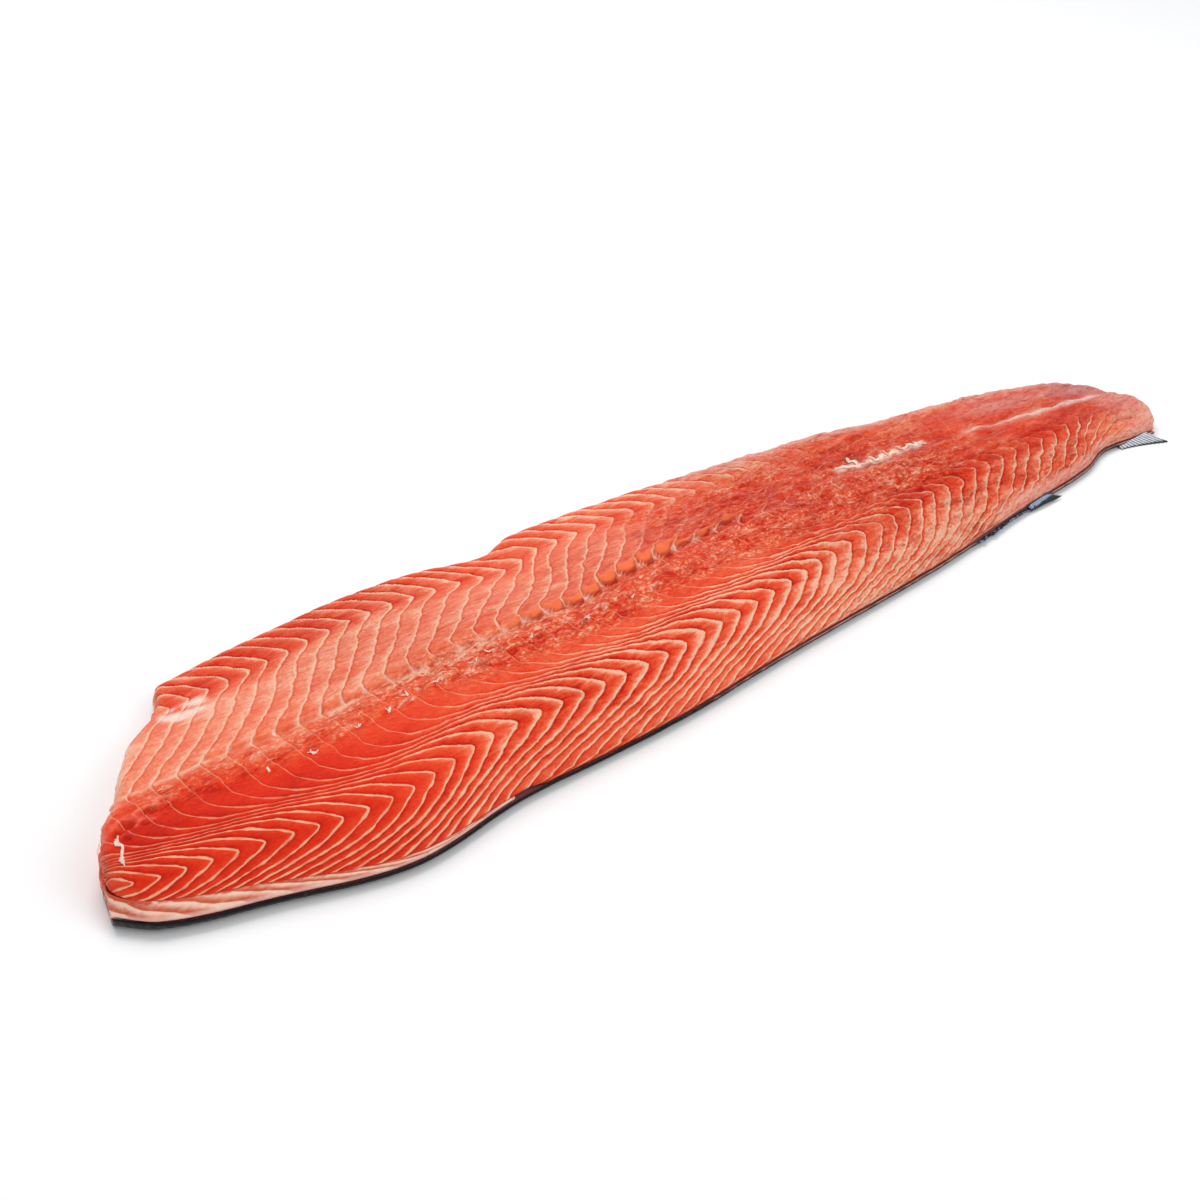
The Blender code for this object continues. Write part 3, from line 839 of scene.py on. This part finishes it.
# The whole side without its skin: the cut face in full detail, walls down to the skin, and a flat base.
def makeFlesh(finish):
    rows, columns, levels = flesh["stationsAlong"], flesh["stationsAcross"], flesh["wallLevels"]
    u, t = np.meshgrid(
        bunched(np.linspace(0, 1, rows), flesh["endBunching"]),
        bunched(np.linspace(0, 1, columns), 0.2) ** flesh["backBunching"],
        indexing="ij",
    )
    rim, reach = fatRim(u[:, :1]), fatReach(u[:, :1])
    v = rim + t * (1 - rim)
    along, _ = planPlace(u, v)
    smoothFace = topPlace(u, v)
    count = sheetCount(along, v)
    spacing = spacingOn(smoothFace, count)
    made = faceMarks(along, v, count)
    # the relief fades out at the rim over the fat, so that the two still meet
    out = relief(along, v, count, spacing, made) * (0.25 + 0.75 * smooth(0, 0.03, v - rim))
    face = smoothFace + unitNormals(smoothFace) * out[..., None]
    atHead = np.clip(1 - u * length / flesh["headRagged"], 0, 1) ** 2
    face[..., 0] += marks["headScallop"] * (0.5 + 0.5 * np.cos(2 * math.pi * count)) * atHead
    face[..., 0] += 0.8 * mm * atHead * (1 + patches(0 * v, v * 0.17, 4 * mm, 16))

    # the walls: a loop of points round the face, lowered level by level to the skin
    li, lj = np.array(rimOf(rows, columns)).T
    edgeU, edgeT, edgeReach = u[li, lj], t[li, lj], reach[li, 0]
    nearFat = np.clip(1 - edgeT / flesh["ledge"], 0, 1)
    nearFat = nearFat * np.clip(edgeReach / flesh["ledgeDepth"], 0, 1)
    floorV = edgeReach + edgeT * (1 - edgeReach)
    lowEdge = floorPlace(edgeU, floorV, nearFat * (flesh["innerEdge"] + side["gap"]))
    highEdge = face[li, lj]
    outward = np.gradient(highEdge[:, :2], axis=0)
    outward = np.stack([outward[:, 1], -outward[:, 0]], axis=-1)
    outward /= np.maximum(np.linalg.norm(outward, axis=-1, keepdims=True), 1e-9)
    mostSwell = np.minimum(0.12 * (highEdge[:, 2] - lowEdge[:, 2]), flesh["wallSwell"])
    free = ((edgeT > 0.02) | (edgeReach < 0.001)).astype(float)
    walls = []
    for level in range(1, levels + 1):
        down = level / levels
        points = highEdge + (lowEdge - highEdge) * down
        crumble = flesh["crumble"] * patches(highEdge[:, 0] + highEdge[:, 1], points[:, 2], 2.2 * mm, 17)
        swell = np.sin(math.pi * down) * mostSwell + crumble * (level < levels)
        points[:, :2] += outward * (swell * free)[:, None]
        walls.append(points)
    faces = gridFaces(rows, columns)
    total, first = len(li), rows * columns
    rings = [li * columns + lj] + [first + level * total + np.arange(total) for level in range(levels)]
    for upper, lower in zip(rings, rings[1:]):
        quads = np.stack([upper, lower, np.roll(lower, -1), np.roll(upper, -1)], axis=-1)
        faces += quads[:, ::-1].tolist()
    faces.append(rings[-1].tolist())

    # painted shade: the deeper a pit, the darker it is painted, with the gaps, creases, folds and cells'
    # edges added
    dark = np.clip(marks["pitShade"] * made["pit"], 0, marks["mostPitShade"])
    dark = dark + weighed(marks["paintedShades"], made)
    tone = toneAt(along, v) + weighed(marks["tones"], made)
    # the rounded head end is painted paler: painted light where it faces away from the main lamp
    tone = tone + flesh["paleEndTone"] * np.clip(1 - u * length / flesh["paleEnd"], 0, 1)
    numbers = (
        count, spacing, *lineLook(along, v, spacing, made), tone, zones(lines["lobe"], along, v),
        np.clip(dark, 0, 1), np.clip(made["cell"], 0, 1),
        np.clip(weighed(marks["whites"], made), 0, 1), made["membrane"], made["bruise"],
        made["rough"], zones(marks["texture"], along, v),
    )
    downWalls = (np.arange(levels)[:, None] + 1) / levels
    spread = {}
    for name, onFace in zip(fleshValues, numbers):
        onWalls = onFace[li, lj] + 0 * downWalls
        if name == "sheetCount":
            onWalls = onWalls + flesh["wallTurn"] * downWalls
        if name == "sheetSpacing":
            onWalls = np.clip(onWalls, *flesh["wallSpacing"])
        if name == "tone":
            onWalls = onWalls - flesh["wallDarker"] * downWalls
        spread[name] = np.concatenate([onFace.ravel(), onWalls.ravel()])
    points = np.concatenate([face.reshape(-1, 3)] + walls)
    return addPiece("cutFlesh", points, faces, spread, finish, splitBase=True)


# How wide and how strong the sheets' lines are over the face, and how strongly the blocks' lobes are
# painted with light and shade.
lines = {
    "width": (  # mm
        (0.80, anywhere, anywhere), (-0.35, anywhere, (0.26, 0.46, 0.03)),
        (0.20, anywhere, (0.63, far, 0.17)), (0.45, (-far, 0.24, 0.04), (-far, 0.045, 0.015)),
        (-0.10, (0.73, far, 0.07), anywhere),
    ),
    "mostWidth": 0.24,  # of the spacing
    "strength": (
        (0.95, anywhere, anywhere), (-0.55, anywhere, (0.235, 0.46, 0.03)),
        (-0.25, anywhere, (0.48, 0.80, 0.06)),
    ),
    "losses": (
        (0.10, (0.67, far, 0.07), anywhere), (0.8, (0.71, far, 0.05), (0.29, far, 0.04)),
        (0.7, (0.945, far, 0.025), anywhere),
    ),
    "lobe": (
        (1.0, (0.24, 0.62, 0.06), (0.06, 0.20, 0.035)), (0.5, (0.18, 0.58, 0.05), (-far, 0.07, 0.02)),
        (0.7, (0.10, 0.60, 0.05), (0.82, far, 0.04)), (0.25, (0.05, 0.55, 0.05), (0.48, 0.78, 0.05)),
        (0.22, (-far, 0.26, 0.04), (-far, 0.25, 0.03)), (0.5, (0.66, 0.90, 0.04), (0.08, 0.28, 0.04)),
    ),
}


def lineLook(along, v, spacing, made):
    lineWidth = np.minimum(zones(lines["width"], along, v), lines["mostWidth"] * spacing)
    strength = zones(lines["strength"], along, v)
    strength = strength * (1 - 0.5 * bump(0.205, 0.030, v) * (1 - smooth(0.30, 0.45, along)))
    strength = strength * (1 - 0.85 * made["scraped"]) * (1 - 0.5 * made["membrane"])
    for row in lines["losses"]:
        strength = strength * (1 - zones((row,), along, v))
    return lineWidth, np.clip(strength, 0, 1)


fatLook = {
    "pale": shown(250, 208, 188),
    "mid": shown(226, 146, 118),
    "deep": shown(204, 92, 60),
    "flesh": shown(206, 66, 38),
    "silver": shown(250, 206, 196),
}


def makeFatFinish():
    look = fatLook
    f = Finish("paleBackFat")
    streak = f.attribute("streak")
    low = f.attribute("low")
    wave = streak + 0.9 * f.noise(13, (0.5, 1, 1), 3.0)
    saw = wave.fraction()
    grain = f.noise(1.2, (0.3, 1, 1), 3.0)
    value = saw.fade(0.05, 0.85) * (1 - saw.fade(0.9, 1.0)) + grain * 0.7 + f.noise(6, (0.4, 1, 1)) * 0.6
    colour = f.ramp(value, ((0.0, look["deep"]), (0.4, look["mid"]), (1.0, look["pale"])))
    colour = f.mix(low.fade(0.80, 0.96) * 0.7, colour, look["silver"])
    border = f.noise(4, (0.5, 1, 1), 3.0, 0.5)
    colour = f.mix((1 - (low + border * 0.9).fade(0.02, 0.26)) * 0.9, colour, look["flesh"])
    normal = f.raised(grain * 1.2 + saw * 0.15, 0.5 * mm, 0.6)
    return f.finished(
        Base_Color=colour, Roughness=0.42 + grain * 0.3, Normal=normal, Coat_Weight=0.1,
        Coat_Roughness=0.2, Specular_IOR_Level=0.4, Subsurface_Weight=0.15,
        Subsurface_Radius=(1.0, 0.5, 0.35), Subsurface_Scale=2 * mm, IOR=1.42,
    )


# The wedge of fat from the skin's edge to under the flesh, closed all round.
def makeFat(finish):
    fine = np.linspace(0, 1, 4000)
    ending = fine[np.searchsorted(planPlace(fine, 0 * fine)[0], fat["end"]) - 1]
    u = np.linspace(0, ending, fat["stations"])
    along = planPlace(u, 0 * u)[0]
    clear = fat["clearance"] / widthAt(along)
    rim, reach = fatRim(u) - clear, fatReach(u) - clear
    ring, streak, low = [], [], []
    for k in range(fat["faceRows"]):  # the outer face, from the skin up to the flesh
        t = k / (fat["faceRows"] - 1)
        base = floorPlace(u, 0 * u)
        points = base + (topPlace(u, rim * t) - base) * smooth(0, 0.15, t) if k else base
        swell = fat["swell"] * math.sin(math.pi * t)
        swell = swell + fat["waves"] * patches(length * along, 0 * along + t, 9 * mm, 31)
        points[:, 1] -= swell * (t * (1 - t) * 4)
        ring.append(points)
        streak.append(sheetCount(along, 0 * along) * 0.55 + 1.6 * t)
        low.append(0 * along + 1 - t)
    for k in range(1, fat["innerRows"] + 1):  # down the inner face, under the flesh
        t = k / fat["innerRows"]
        inner = floorPlace(u, reach, flesh["innerEdge"])
        ring.append(ring[fat["faceRows"] - 1] + (inner - ring[fat["faceRows"] - 1]) * t)
        streak.append(streak[fat["faceRows"] - 1])
        low.append(0 * along)
    for k in range(1, 4):  # and back along the skin
        ring.append(floorPlace(u, reach * (1 - (k - 1) / 3)))
        streak.append(streak[0])
        low.append(0 * along)
    points = np.stack(ring, axis=1)
    columns = points.shape[1]
    points[0, :, 0] += fat["ragged"] * np.sin(np.arange(columns))
    faces = []
    for i in range(len(u) - 1):
        for j in range(columns):
            k = (j + 1) % columns
            faces.append((i * columns + j, i * columns + k, (i + 1) * columns + k, (i + 1) * columns + j))
    faces.append(tuple(range(columns))[::-1])
    faces.append(tuple((len(u) - 1) * columns + j for j in range(columns)))
    values = {"streak": np.stack(streak, 1).ravel(), "low": np.stack(low, 1).ravel()}
    return addPiece("backFat", points.reshape(-1, 3), faces, values, finish)


skin = {
    "stationsAlong": 420,
    "stationsAcross": 64,
    "scaleSize": 3.4,  # mm
    "ragged": (0.735, 0.835),
    "raggedReach": 3.0 * mm,
    "raggedWidth": 2 * mm,
    "waves": 0.25 * mm,
    "wavesWidth": 10 * mm,
    "deepestWave": 0.2 * mm,
}
skinLook = {
    "back": shown(12, 14, 20),
    "flank": shown(70, 82, 98),
    "silver": shown(190, 196, 202),
    "belly": shown(228, 226, 222),
    "spot": shown(14, 16, 20),
    "cut": shown(206, 150, 146),
    "fleck": shown(140, 160, 196),
}


def makeSkinFinish():
    look = skinLook
    f = Finish("scaledSkin")
    across = f.attribute("across")
    inside = f.attribute("inside")
    wander = f.noise(40, (0.3, 1, 1), 2.0) * 0.12
    bands = (
        (0.00, look["back"]), (0.22, look["back"]), (0.40, look["flank"]), (0.58, look["silver"]),
        (0.80, look["belly"]), (1.00, look["belly"]),
    )
    colour = f.ramp(across + wander, bands)
    scaleCells = f.node(
        "ShaderNodeTexVoronoi", {"feature": "F1"},
        {"Vector": f.place((1, 1.25, 0.3)), "Scale": 1000 / skin["scaleSize"], "Randomness": 0.35},
    )
    scaleEdge = scaleCells.fade(0.30, 0.62)
    colour = f.mix(scaleEdge * 0.45, colour, f.mix(across, look["spot"], look["flank"]))
    spots = f.node(
        "ShaderNodeTexVoronoi", {"feature": "F1"}, {"Vector": f.place((1, 1, 0.3)), "Scale": 42.0},
    )
    spotted = (1 - spots.fade(0.13, 0.20)) * (1 - across.fade(0.30, 0.46))
    colour = f.mix(spotted * 0.8, colour, look["spot"])
    fleck = f.noise(1.5, (1, 1, 1), 2.0).fade(0.02, 0.10) * f.attribute("fringe")
    colour = f.mix(fleck * 0.85, colour, look["fleck"])
    # painted glints: small flank-coloured flecks over the dark skin
    paintedGlint = f.noise(2.2, (0.5, 1, 1), 2.0).fade(0.1, 0.3)
    colour = f.mix(paintedGlint * 0.22, colour, look["flank"])
    colour = f.mix(inside.fade(0.25, 0.75) * 0.85, colour, look["cut"])
    normal = f.raised(scaleEdge * -0.6 + f.noise(0.8) * 0.2, 0.4 * mm, 0.7)
    return f.finished(
        Base_Color=colour, Roughness=0.30 + scaleEdge * 0.2, Normal=normal,
        Metallic=0.05 + across * 0.3, Coat_Weight=0.06, Coat_Roughness=0.2, Specular_IOR_Level=0.25,
    )


# The skin under everything: turned up along the back, with a ragged edge before the small fin.
def makeSkin(finish):
    rows, columns = skin["stationsAlong"], skin["stationsAcross"]
    u, v = np.meshgrid(
        bunched(np.linspace(0, 1, rows), 0.3),
        bunched(np.linspace(0, 1, columns), 0.5) ** 1.4,
        indexing="ij",
    )
    along, y = planPlace(u, v)
    across = y - width * curves["backEdge"](along)
    proud = side["skinProud"] * (1 - np.clip(across / side["proudWidth"], 0, 1))
    tatter = 0.25 + 0.75 * np.clip(patches(length * along, 0 * along, 1.9 * mm, 41), 0, 1)
    tatter = skin["raggedReach"] * tatter * within(*skin["ragged"], 0.01, along)
    tatter = tatter * (1 - np.clip(across / skin["raggedWidth"], 0, 1))
    wavy = skin["waves"] * patches(length * along, 0 * along, 11 * mm, 42)
    wavy = wavy * (1 - np.clip(across / skin["wavesWidth"], 0, 1))
    wavy = np.maximum(wavy, -skin["deepestWave"])
    low = inFrame(along, y, skinUnderside(along, across))
    high = low + np.array((0, 0, side["skinThickness"]))
    for sheet in (low, high):
        sheet[..., 1] -= proud + tatter
        sheet[..., 2] += wavy * (sheet[..., 2] > 1.5 * mm)
    low[..., 1] -= side["skinThickness"] * 0.6 * (1 - np.clip(across / side["skinLiftWidth"], 0, 1))
    pinkEdge = smooth(0.34, 0.50, along) * (0.85 + 0.3 * patches(length * along, 0 * along, 3 * mm, 43))
    pinkEdge = pinkEdge * (1 - within(*skin["ragged"], 0.008, along))
    inside = np.maximum(smooth(0.5 * mm, 2 * mm, across), pinkEdge)
    fringe = within(*skin["ragged"], 0.01, along) * (1 - smooth(2 * mm, 4 * mm, across))
    values = {"across": (v, v), "inside": (inside, 0 * v), "fringe": (fringe, fringe)}
    return addSheet("scaledSkin", high, low, values, finish)


fins = {
    "adiposeRoot": (0.806, 0.834),
    "adiposeTip": 0.844,
    "adiposeReach": 3.0 * mm,
    "adiposeRootReach": 0.8 * mm,
    "adiposeLead": 0.7,
    "adiposeThickness": 1.4 * mm,
    "adiposeHeight": 3.2 * mm,
    "tailRoot": (0.945, 0.974),
    "tailTip": 0.986,
    "tailReach": 8.6 * mm,
    "tailHeight": 5.0 * mm,
    "tailEdge": 0.9 * mm,
    "rays": 11,
    "rayHeight": 0.35 * mm,
    "rayReach": 0.5 * mm,
}
finLook = {
    "blue": shown(70, 92, 130),
    "pale": shown(176, 194, 218),
    "black": shown(16, 17, 24),
    "grey": shown(124, 132, 146),
    "white": shown(238, 240, 244),
}


def skinRim(along):
    return width * curves["backEdge"](along) - side["skinProud"] - side["skinThickness"] - side["gap"]


def makeFinFinish(name, pale, deep, edgeStart, lean, stripes):
    f = Finish(name)
    share = f.attribute("share")
    out = f.attribute("out")
    streaks = f.noise(1.1, (1, 0.25, 1), 3.0)
    ray = f.attribute("ray")
    colour = f.mix(streaks * 1.2 + 0.5 * (1 - stripes) + ray * stripes, deep, pale)
    black = (out + share * lean + streaks * 0.35).fade(edgeStart, edgeStart + 0.25)
    underside = f.attribute("underside")
    colour = f.mix(black.most(underside), colour, finLook["black"])
    normal = f.raised(streaks + ray * stripes, 0.3 * mm, 0.8)
    return f.finished(
        Base_Color=colour, Roughness=0.36 + streaks * 0.3, Normal=normal, Metallic=0.1,
        Coat_Weight=0.35, Coat_Roughness=0.15,
    )


# A thin closed flap: a grid of shares along its root and outwards, with its two faces.
def addFlap(name, rows, columns, shape, finish):
    s, out = np.meshgrid(np.linspace(0, 1, rows), np.linspace(0, 1, columns), indexing="ij")
    ray = rayShape(s)
    values = {"share": (s, s), "out": (out, out), "underside": (0 * s, 0 * s + 1), "ray": (ray, ray)}
    return addSheet(name, shape(s, out, 1.0), shape(s, out, 0.0), values, finish)


def rayShape(s):
    return 0.5 + 0.5 * np.cos(2 * math.pi * fins["rays"] * s)


def adiposeShape(s, out, layer):
    start, end = fins["adiposeRoot"]
    rootAlong = start + (end - start) * s
    extra = fins["adiposeReach"] - fins["adiposeRootReach"]
    reach = fins["adiposeRootReach"] + extra * s ** fins["adiposeLead"]
    along = rootAlong + (fins["adiposeTip"] - end) * s * out
    thin = fins["adiposeThickness"] * (1 - 0.7 * out)
    thin = thin * np.sqrt(np.clip(1 - (2 * s - 1) ** 6, 0.1, 1))
    z = fins["adiposeHeight"] * (1 - 0.5 * out) + thin * layer
    z = z + 0.25 * mm * np.sin(9 * s + 4 * out) * out
    return inFrame(along, skinRim(rootAlong) + 1.0 * mm * (1 - out) - reach * out, z)


def tailFinShape(s, out, layer):
    start, end = fins["tailRoot"]
    rootAlong = start + (end - start) * s
    reach = fins["tailReach"] * s ** 1.5 + fins["tailEdge"]
    along = rootAlong + (fins["tailTip"] - end) * s * out
    rootHeight = fins["tailHeight"] * (0.4 + 0.6 * s)
    z = fins["tailEdge"] + (rootHeight - fins["tailEdge"]) * (1 - out) ** 1.4
    ridge = fins["rayHeight"] * rayShape(s) * np.sin(math.pi * np.clip(out * 0.9 + 0.05, 0, 1))
    reach = reach + fins["rayReach"] * rayShape(s) * (s < 0.92)
    return inFrame(along, skinRim(rootAlong) + 1.2 * mm * (1 - out) - reach * out, (z + ridge) * layer)


# White strands and tufts of connective tissue that lie on the cut face.
strands = {
    "lift": 0.15 * mm,
    "segment": 14,
    "corners": 8,
    # along and across of the points of each, then its width in mm
    "drawn": (
        (((0.0275, 0.305), (0.0238, 0.27), (0.0250, 0.245), (0.0205, 0.205), (0.0190, 0.165)), 1.5),
        (((0.0245, 0.285), (0.0225, 0.262), (0.0236, 0.25)), 1.9),
        (((0.0215, 0.205), (0.0196, 0.195), (0.0193, 0.175)), 2.3),
        (((0.0120, 0.27), (0.0150, 0.30), (0.0190, 0.335)), 0.8),
        (((0.696, 0.625), (0.702, 0.60), (0.708, 0.585), (0.714, 0.565)), 3.2),
        (((0.714, 0.565), (0.716, 0.60), (0.715, 0.64), (0.718, 0.672)), 2.8),
        (((0.722, 0.578), (0.726, 0.585), (0.729, 0.575)), 2.6),
        (((0.732, 0.588), (0.737, 0.578), (0.742, 0.597), (0.747, 0.586)), 3.4),
        (((0.749, 0.590), (0.754, 0.602), (0.760, 0.595)), 2.8),
        (((0.764, 0.600), (0.772, 0.607), (0.779, 0.600), (0.789, 0.614)), 2.4),
    ),
    "tufts": (0.128, 0.160, 0.196, 0.222, 0.240, 0.262, 0.296, 0.314, 0.345, 0.39, 0.43),
    "tuftAcross": 0.345,
    "tuftSpread": 0.02,
    "tuftHairs": 3,
    "combStart": 0.585,
    "comb": (0.733, 0.741, 0.749, 0.756, 0.764, 0.773, 0.781),
}


def strandPath(points):
    places = np.linspace(0, 1, len(points))
    t = np.linspace(0, 1, strands["segment"])
    along = np.interp(t, places, [point[0] for point in points])
    return along, np.interp(t, places, [point[1] for point in points])


def facePlaceAt(along, v):
    wide = widthAt(along)
    u = (along - curves["headCut"](v)) / (curves["tailCut"](v) - curves["headCut"](v))
    count = sheetCount(along, v)
    out = relief(along, v, count, 9.0 + 0 * v, faceMarks(along, v, count))
    z = fleshTop(along, v * wide, u) + out
    return inFrame(along, width * curves["backEdge"](along) + v * wide, z)


def makeStrands(finish):
    random = np.random.RandomState(7)
    paths = [(*strandPath(points), size) for points, size in strands["drawn"]]
    spread = strands["tuftSpread"]
    for place in strands["tufts"]:
        v = strands["tuftAcross"] + random.uniform(-spread, spread)
        for _ in range(strands["tuftHairs"]):
            start = place + random.uniform(-0.002, 0.002)
            turn, reach = random.uniform(-0.005, 0.006), random.uniform(0.006, 0.026)
            points = ((start, v), (start + 0.4 * turn, v + 0.6 * reach), (start + turn, v + reach))
            paths.append((*strandPath(points), random.uniform(0.5, 1.1)))
    for place in strands["comb"]:  # short teeth from the pale band towards the belly
        reach, v = random.uniform(0.03, 0.055), strands["combStart"]
        points = ((place, v), (place + 0.0015, 0.59 + reach * 0.6), (place - 0.001, 0.59 + reach))
        paths.append((*strandPath(points), random.uniform(1.2, 1.9)))
    points, faces, first, corners = [], [], 0, strands["corners"]
    for along, v, size in paths:
        spine = facePlaceAt(along, v)
        spine[:, 2] += strands["lift"] + 0.3 * mm * np.abs(random.uniform(-1, 1, len(spine)))
        forward = np.gradient(spine, axis=0)
        forward /= np.linalg.norm(forward, axis=-1, keepdims=True)
        sideways = np.cross(forward, (0, 0, 1))
        sideways /= np.linalg.norm(sideways, axis=-1, keepdims=True)
        up = np.cross(sideways, forward)
        t = np.linspace(0, 1, len(spine))
        taper = np.sin(math.pi * np.clip(t * 0.94 + 0.03, 0, 1)) ** 0.6
        half = size * mm / 2 * taper * random.uniform(0.65, 1.35, len(spine))
        for k in range(corners):
            angle = 2 * math.pi * k / corners
            wide, tall = half * math.cos(angle), half * 0.45 * math.sin(angle)
            points.append(spine + sideways * wide[:, None] + up * tall[:, None])
        count = len(spine)
        for k in range(corners):
            a, b = first + k * count, first + (k + 1) % corners * count
            faces += [(a + i, b + i, b + i + 1, a + i + 1) for i in range(count - 1)]
        faces.append([first + k * count for k in range(corners)][::-1])
        faces.append([first + k * count + count - 1 for k in range(corners)])
        first += corners * count
    return addPiece("connectiveStrands", np.concatenate(points), faces, {}, finish)


def makeStrandFinish():
    f = Finish("whiteConnective")
    patch = f.noise(1.6, (1, 1, 1), 3.0)
    colour = f.mix(patch * 3.0 + 0.40, shown(254, 232, 216), shown(244, 172, 142))
    return f.finished(
        Base_Color=colour, Roughness=0.35 + patch * 0.3, Normal=f.raised(patch, 0.4 * mm, 0.7),
        Coat_Weight=0.4, Coat_Roughness=0.15, Subsurface_Weight=0.2,
        Subsurface_Radius=(1.0, 0.6, 0.5), Subsurface_Scale=1.5 * mm,
    )


studio = {
    "floorSize": 9.0,
    "floor": (0.93, 0.935, 0.945),
    "world": (1.0, 1.0, 1.0),
    "worldStrength": 0.58,
    "keyPlace": (0.12, 0.75, 1.35),
    "keySize": 1.1,
    "keyPower": 14.3,
    "fillPlace": (0.60, -1.35, 1.0),
    "fillSize": 1.4,
    "fillPower": 12.5,
    "aim": (-0.0302, 0.0174, 0.0),
    "distance": 1.0145,
    "heading": 38.65,
    "elevation": 35.0,
    "viewAngle": 34.0,
}


def addLight(name, place, size, power):
    data = bpy.data.lights.new(name, "AREA")
    data.size = size
    data.energy = power
    made = bpy.data.objects.new(name, data)
    made.location = place
    made.rotation_euler = (Vector((0, 0, 0)) - Vector(place)).to_track_quat("-Z", "Y").to_euler()
    made.visible_glossy = False  # the wet face keeps its own colour under it
    bpy.context.scene.collection.objects.link(made)


def makeStudio():
    bm = bmesh.new()
    bmesh.ops.create_grid(bm, x_segments=8, y_segments=8, size=studio["floorSize"] / 2)
    mesh = bpy.data.meshes.new("studioFloor")
    bm.to_mesh(mesh)
    bm.free()
    floor = bpy.data.objects.new("studioFloor", mesh)
    floor.location.z = cadLow.z
    bpy.context.scene.collection.objects.link(floor)
    f = Finish("paleFloor")
    floor.data.materials.append(f.finished(Base_Color=studio["floor"], Roughness=0.9))
    world = bpy.data.worlds.new("studio")
    world.use_nodes = True
    sky = world.node_tree.nodes["Background"]
    sky.inputs["Color"].default_value = (*studio["world"], 1)
    sky.inputs["Strength"].default_value = studio["worldStrength"]
    bpy.context.scene.world = world
    addLight("keyLight", studio["keyPlace"], studio["keySize"], studio["keyPower"])
    addLight("fillLight", studio["fillPlace"], studio["fillSize"], studio["fillPower"])
    bpy.context.scene.view_settings.view_transform = "Standard"
    print("studio ready")


def makeCamera():
    data = bpy.data.cameras.new("camera")
    data.angle = math.radians(studio["viewAngle"])
    camera = bpy.data.objects.new("camera", data)
    heading, elevation = math.radians(studio["heading"]), math.radians(studio["elevation"])
    level = math.cos(elevation)
    ahead = Vector((math.sin(heading) * level, math.cos(heading) * level, -math.sin(elevation)))
    camera.location = Vector(studio["aim"]) - ahead * studio["distance"]
    camera.rotation_euler = (math.pi / 2 - elevation, 0, -heading)
    bpy.context.scene.collection.objects.link(camera)
    bpy.context.scene.camera = camera
    print("camera ready")


makeStudio()
makeCamera()

adiposeFinish = makeFinFinish("silverBlueFin", finLook["pale"], finLook["blue"], 0.62, 0.45, 0.2)
tailFinish = makeFinFinish("rayedFinRoot", finLook["white"], finLook["grey"], 0.84, 0.1, 0.9)
for piece, slot, node in (
    (makeFlesh(makeFleshFinish()), "raw_flesh", "flesh"),
    (makeFat(makeFatFinish()), "pale_fat", "fat_band"),
    (makeSkin(makeSkinFinish()), "dark_skin", "skin"),
    (addFlap("adiposeFin", 36, 18, adiposeShape, adiposeFinish), "fin_skin", "adipose_fin"),
    (addFlap("tailFinRoot", 136, 26, tailFinShape, tailFinish), "fin_root", "tail_fin_root"),
):
    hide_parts(node)
makeStrands(makeStrandFinish())
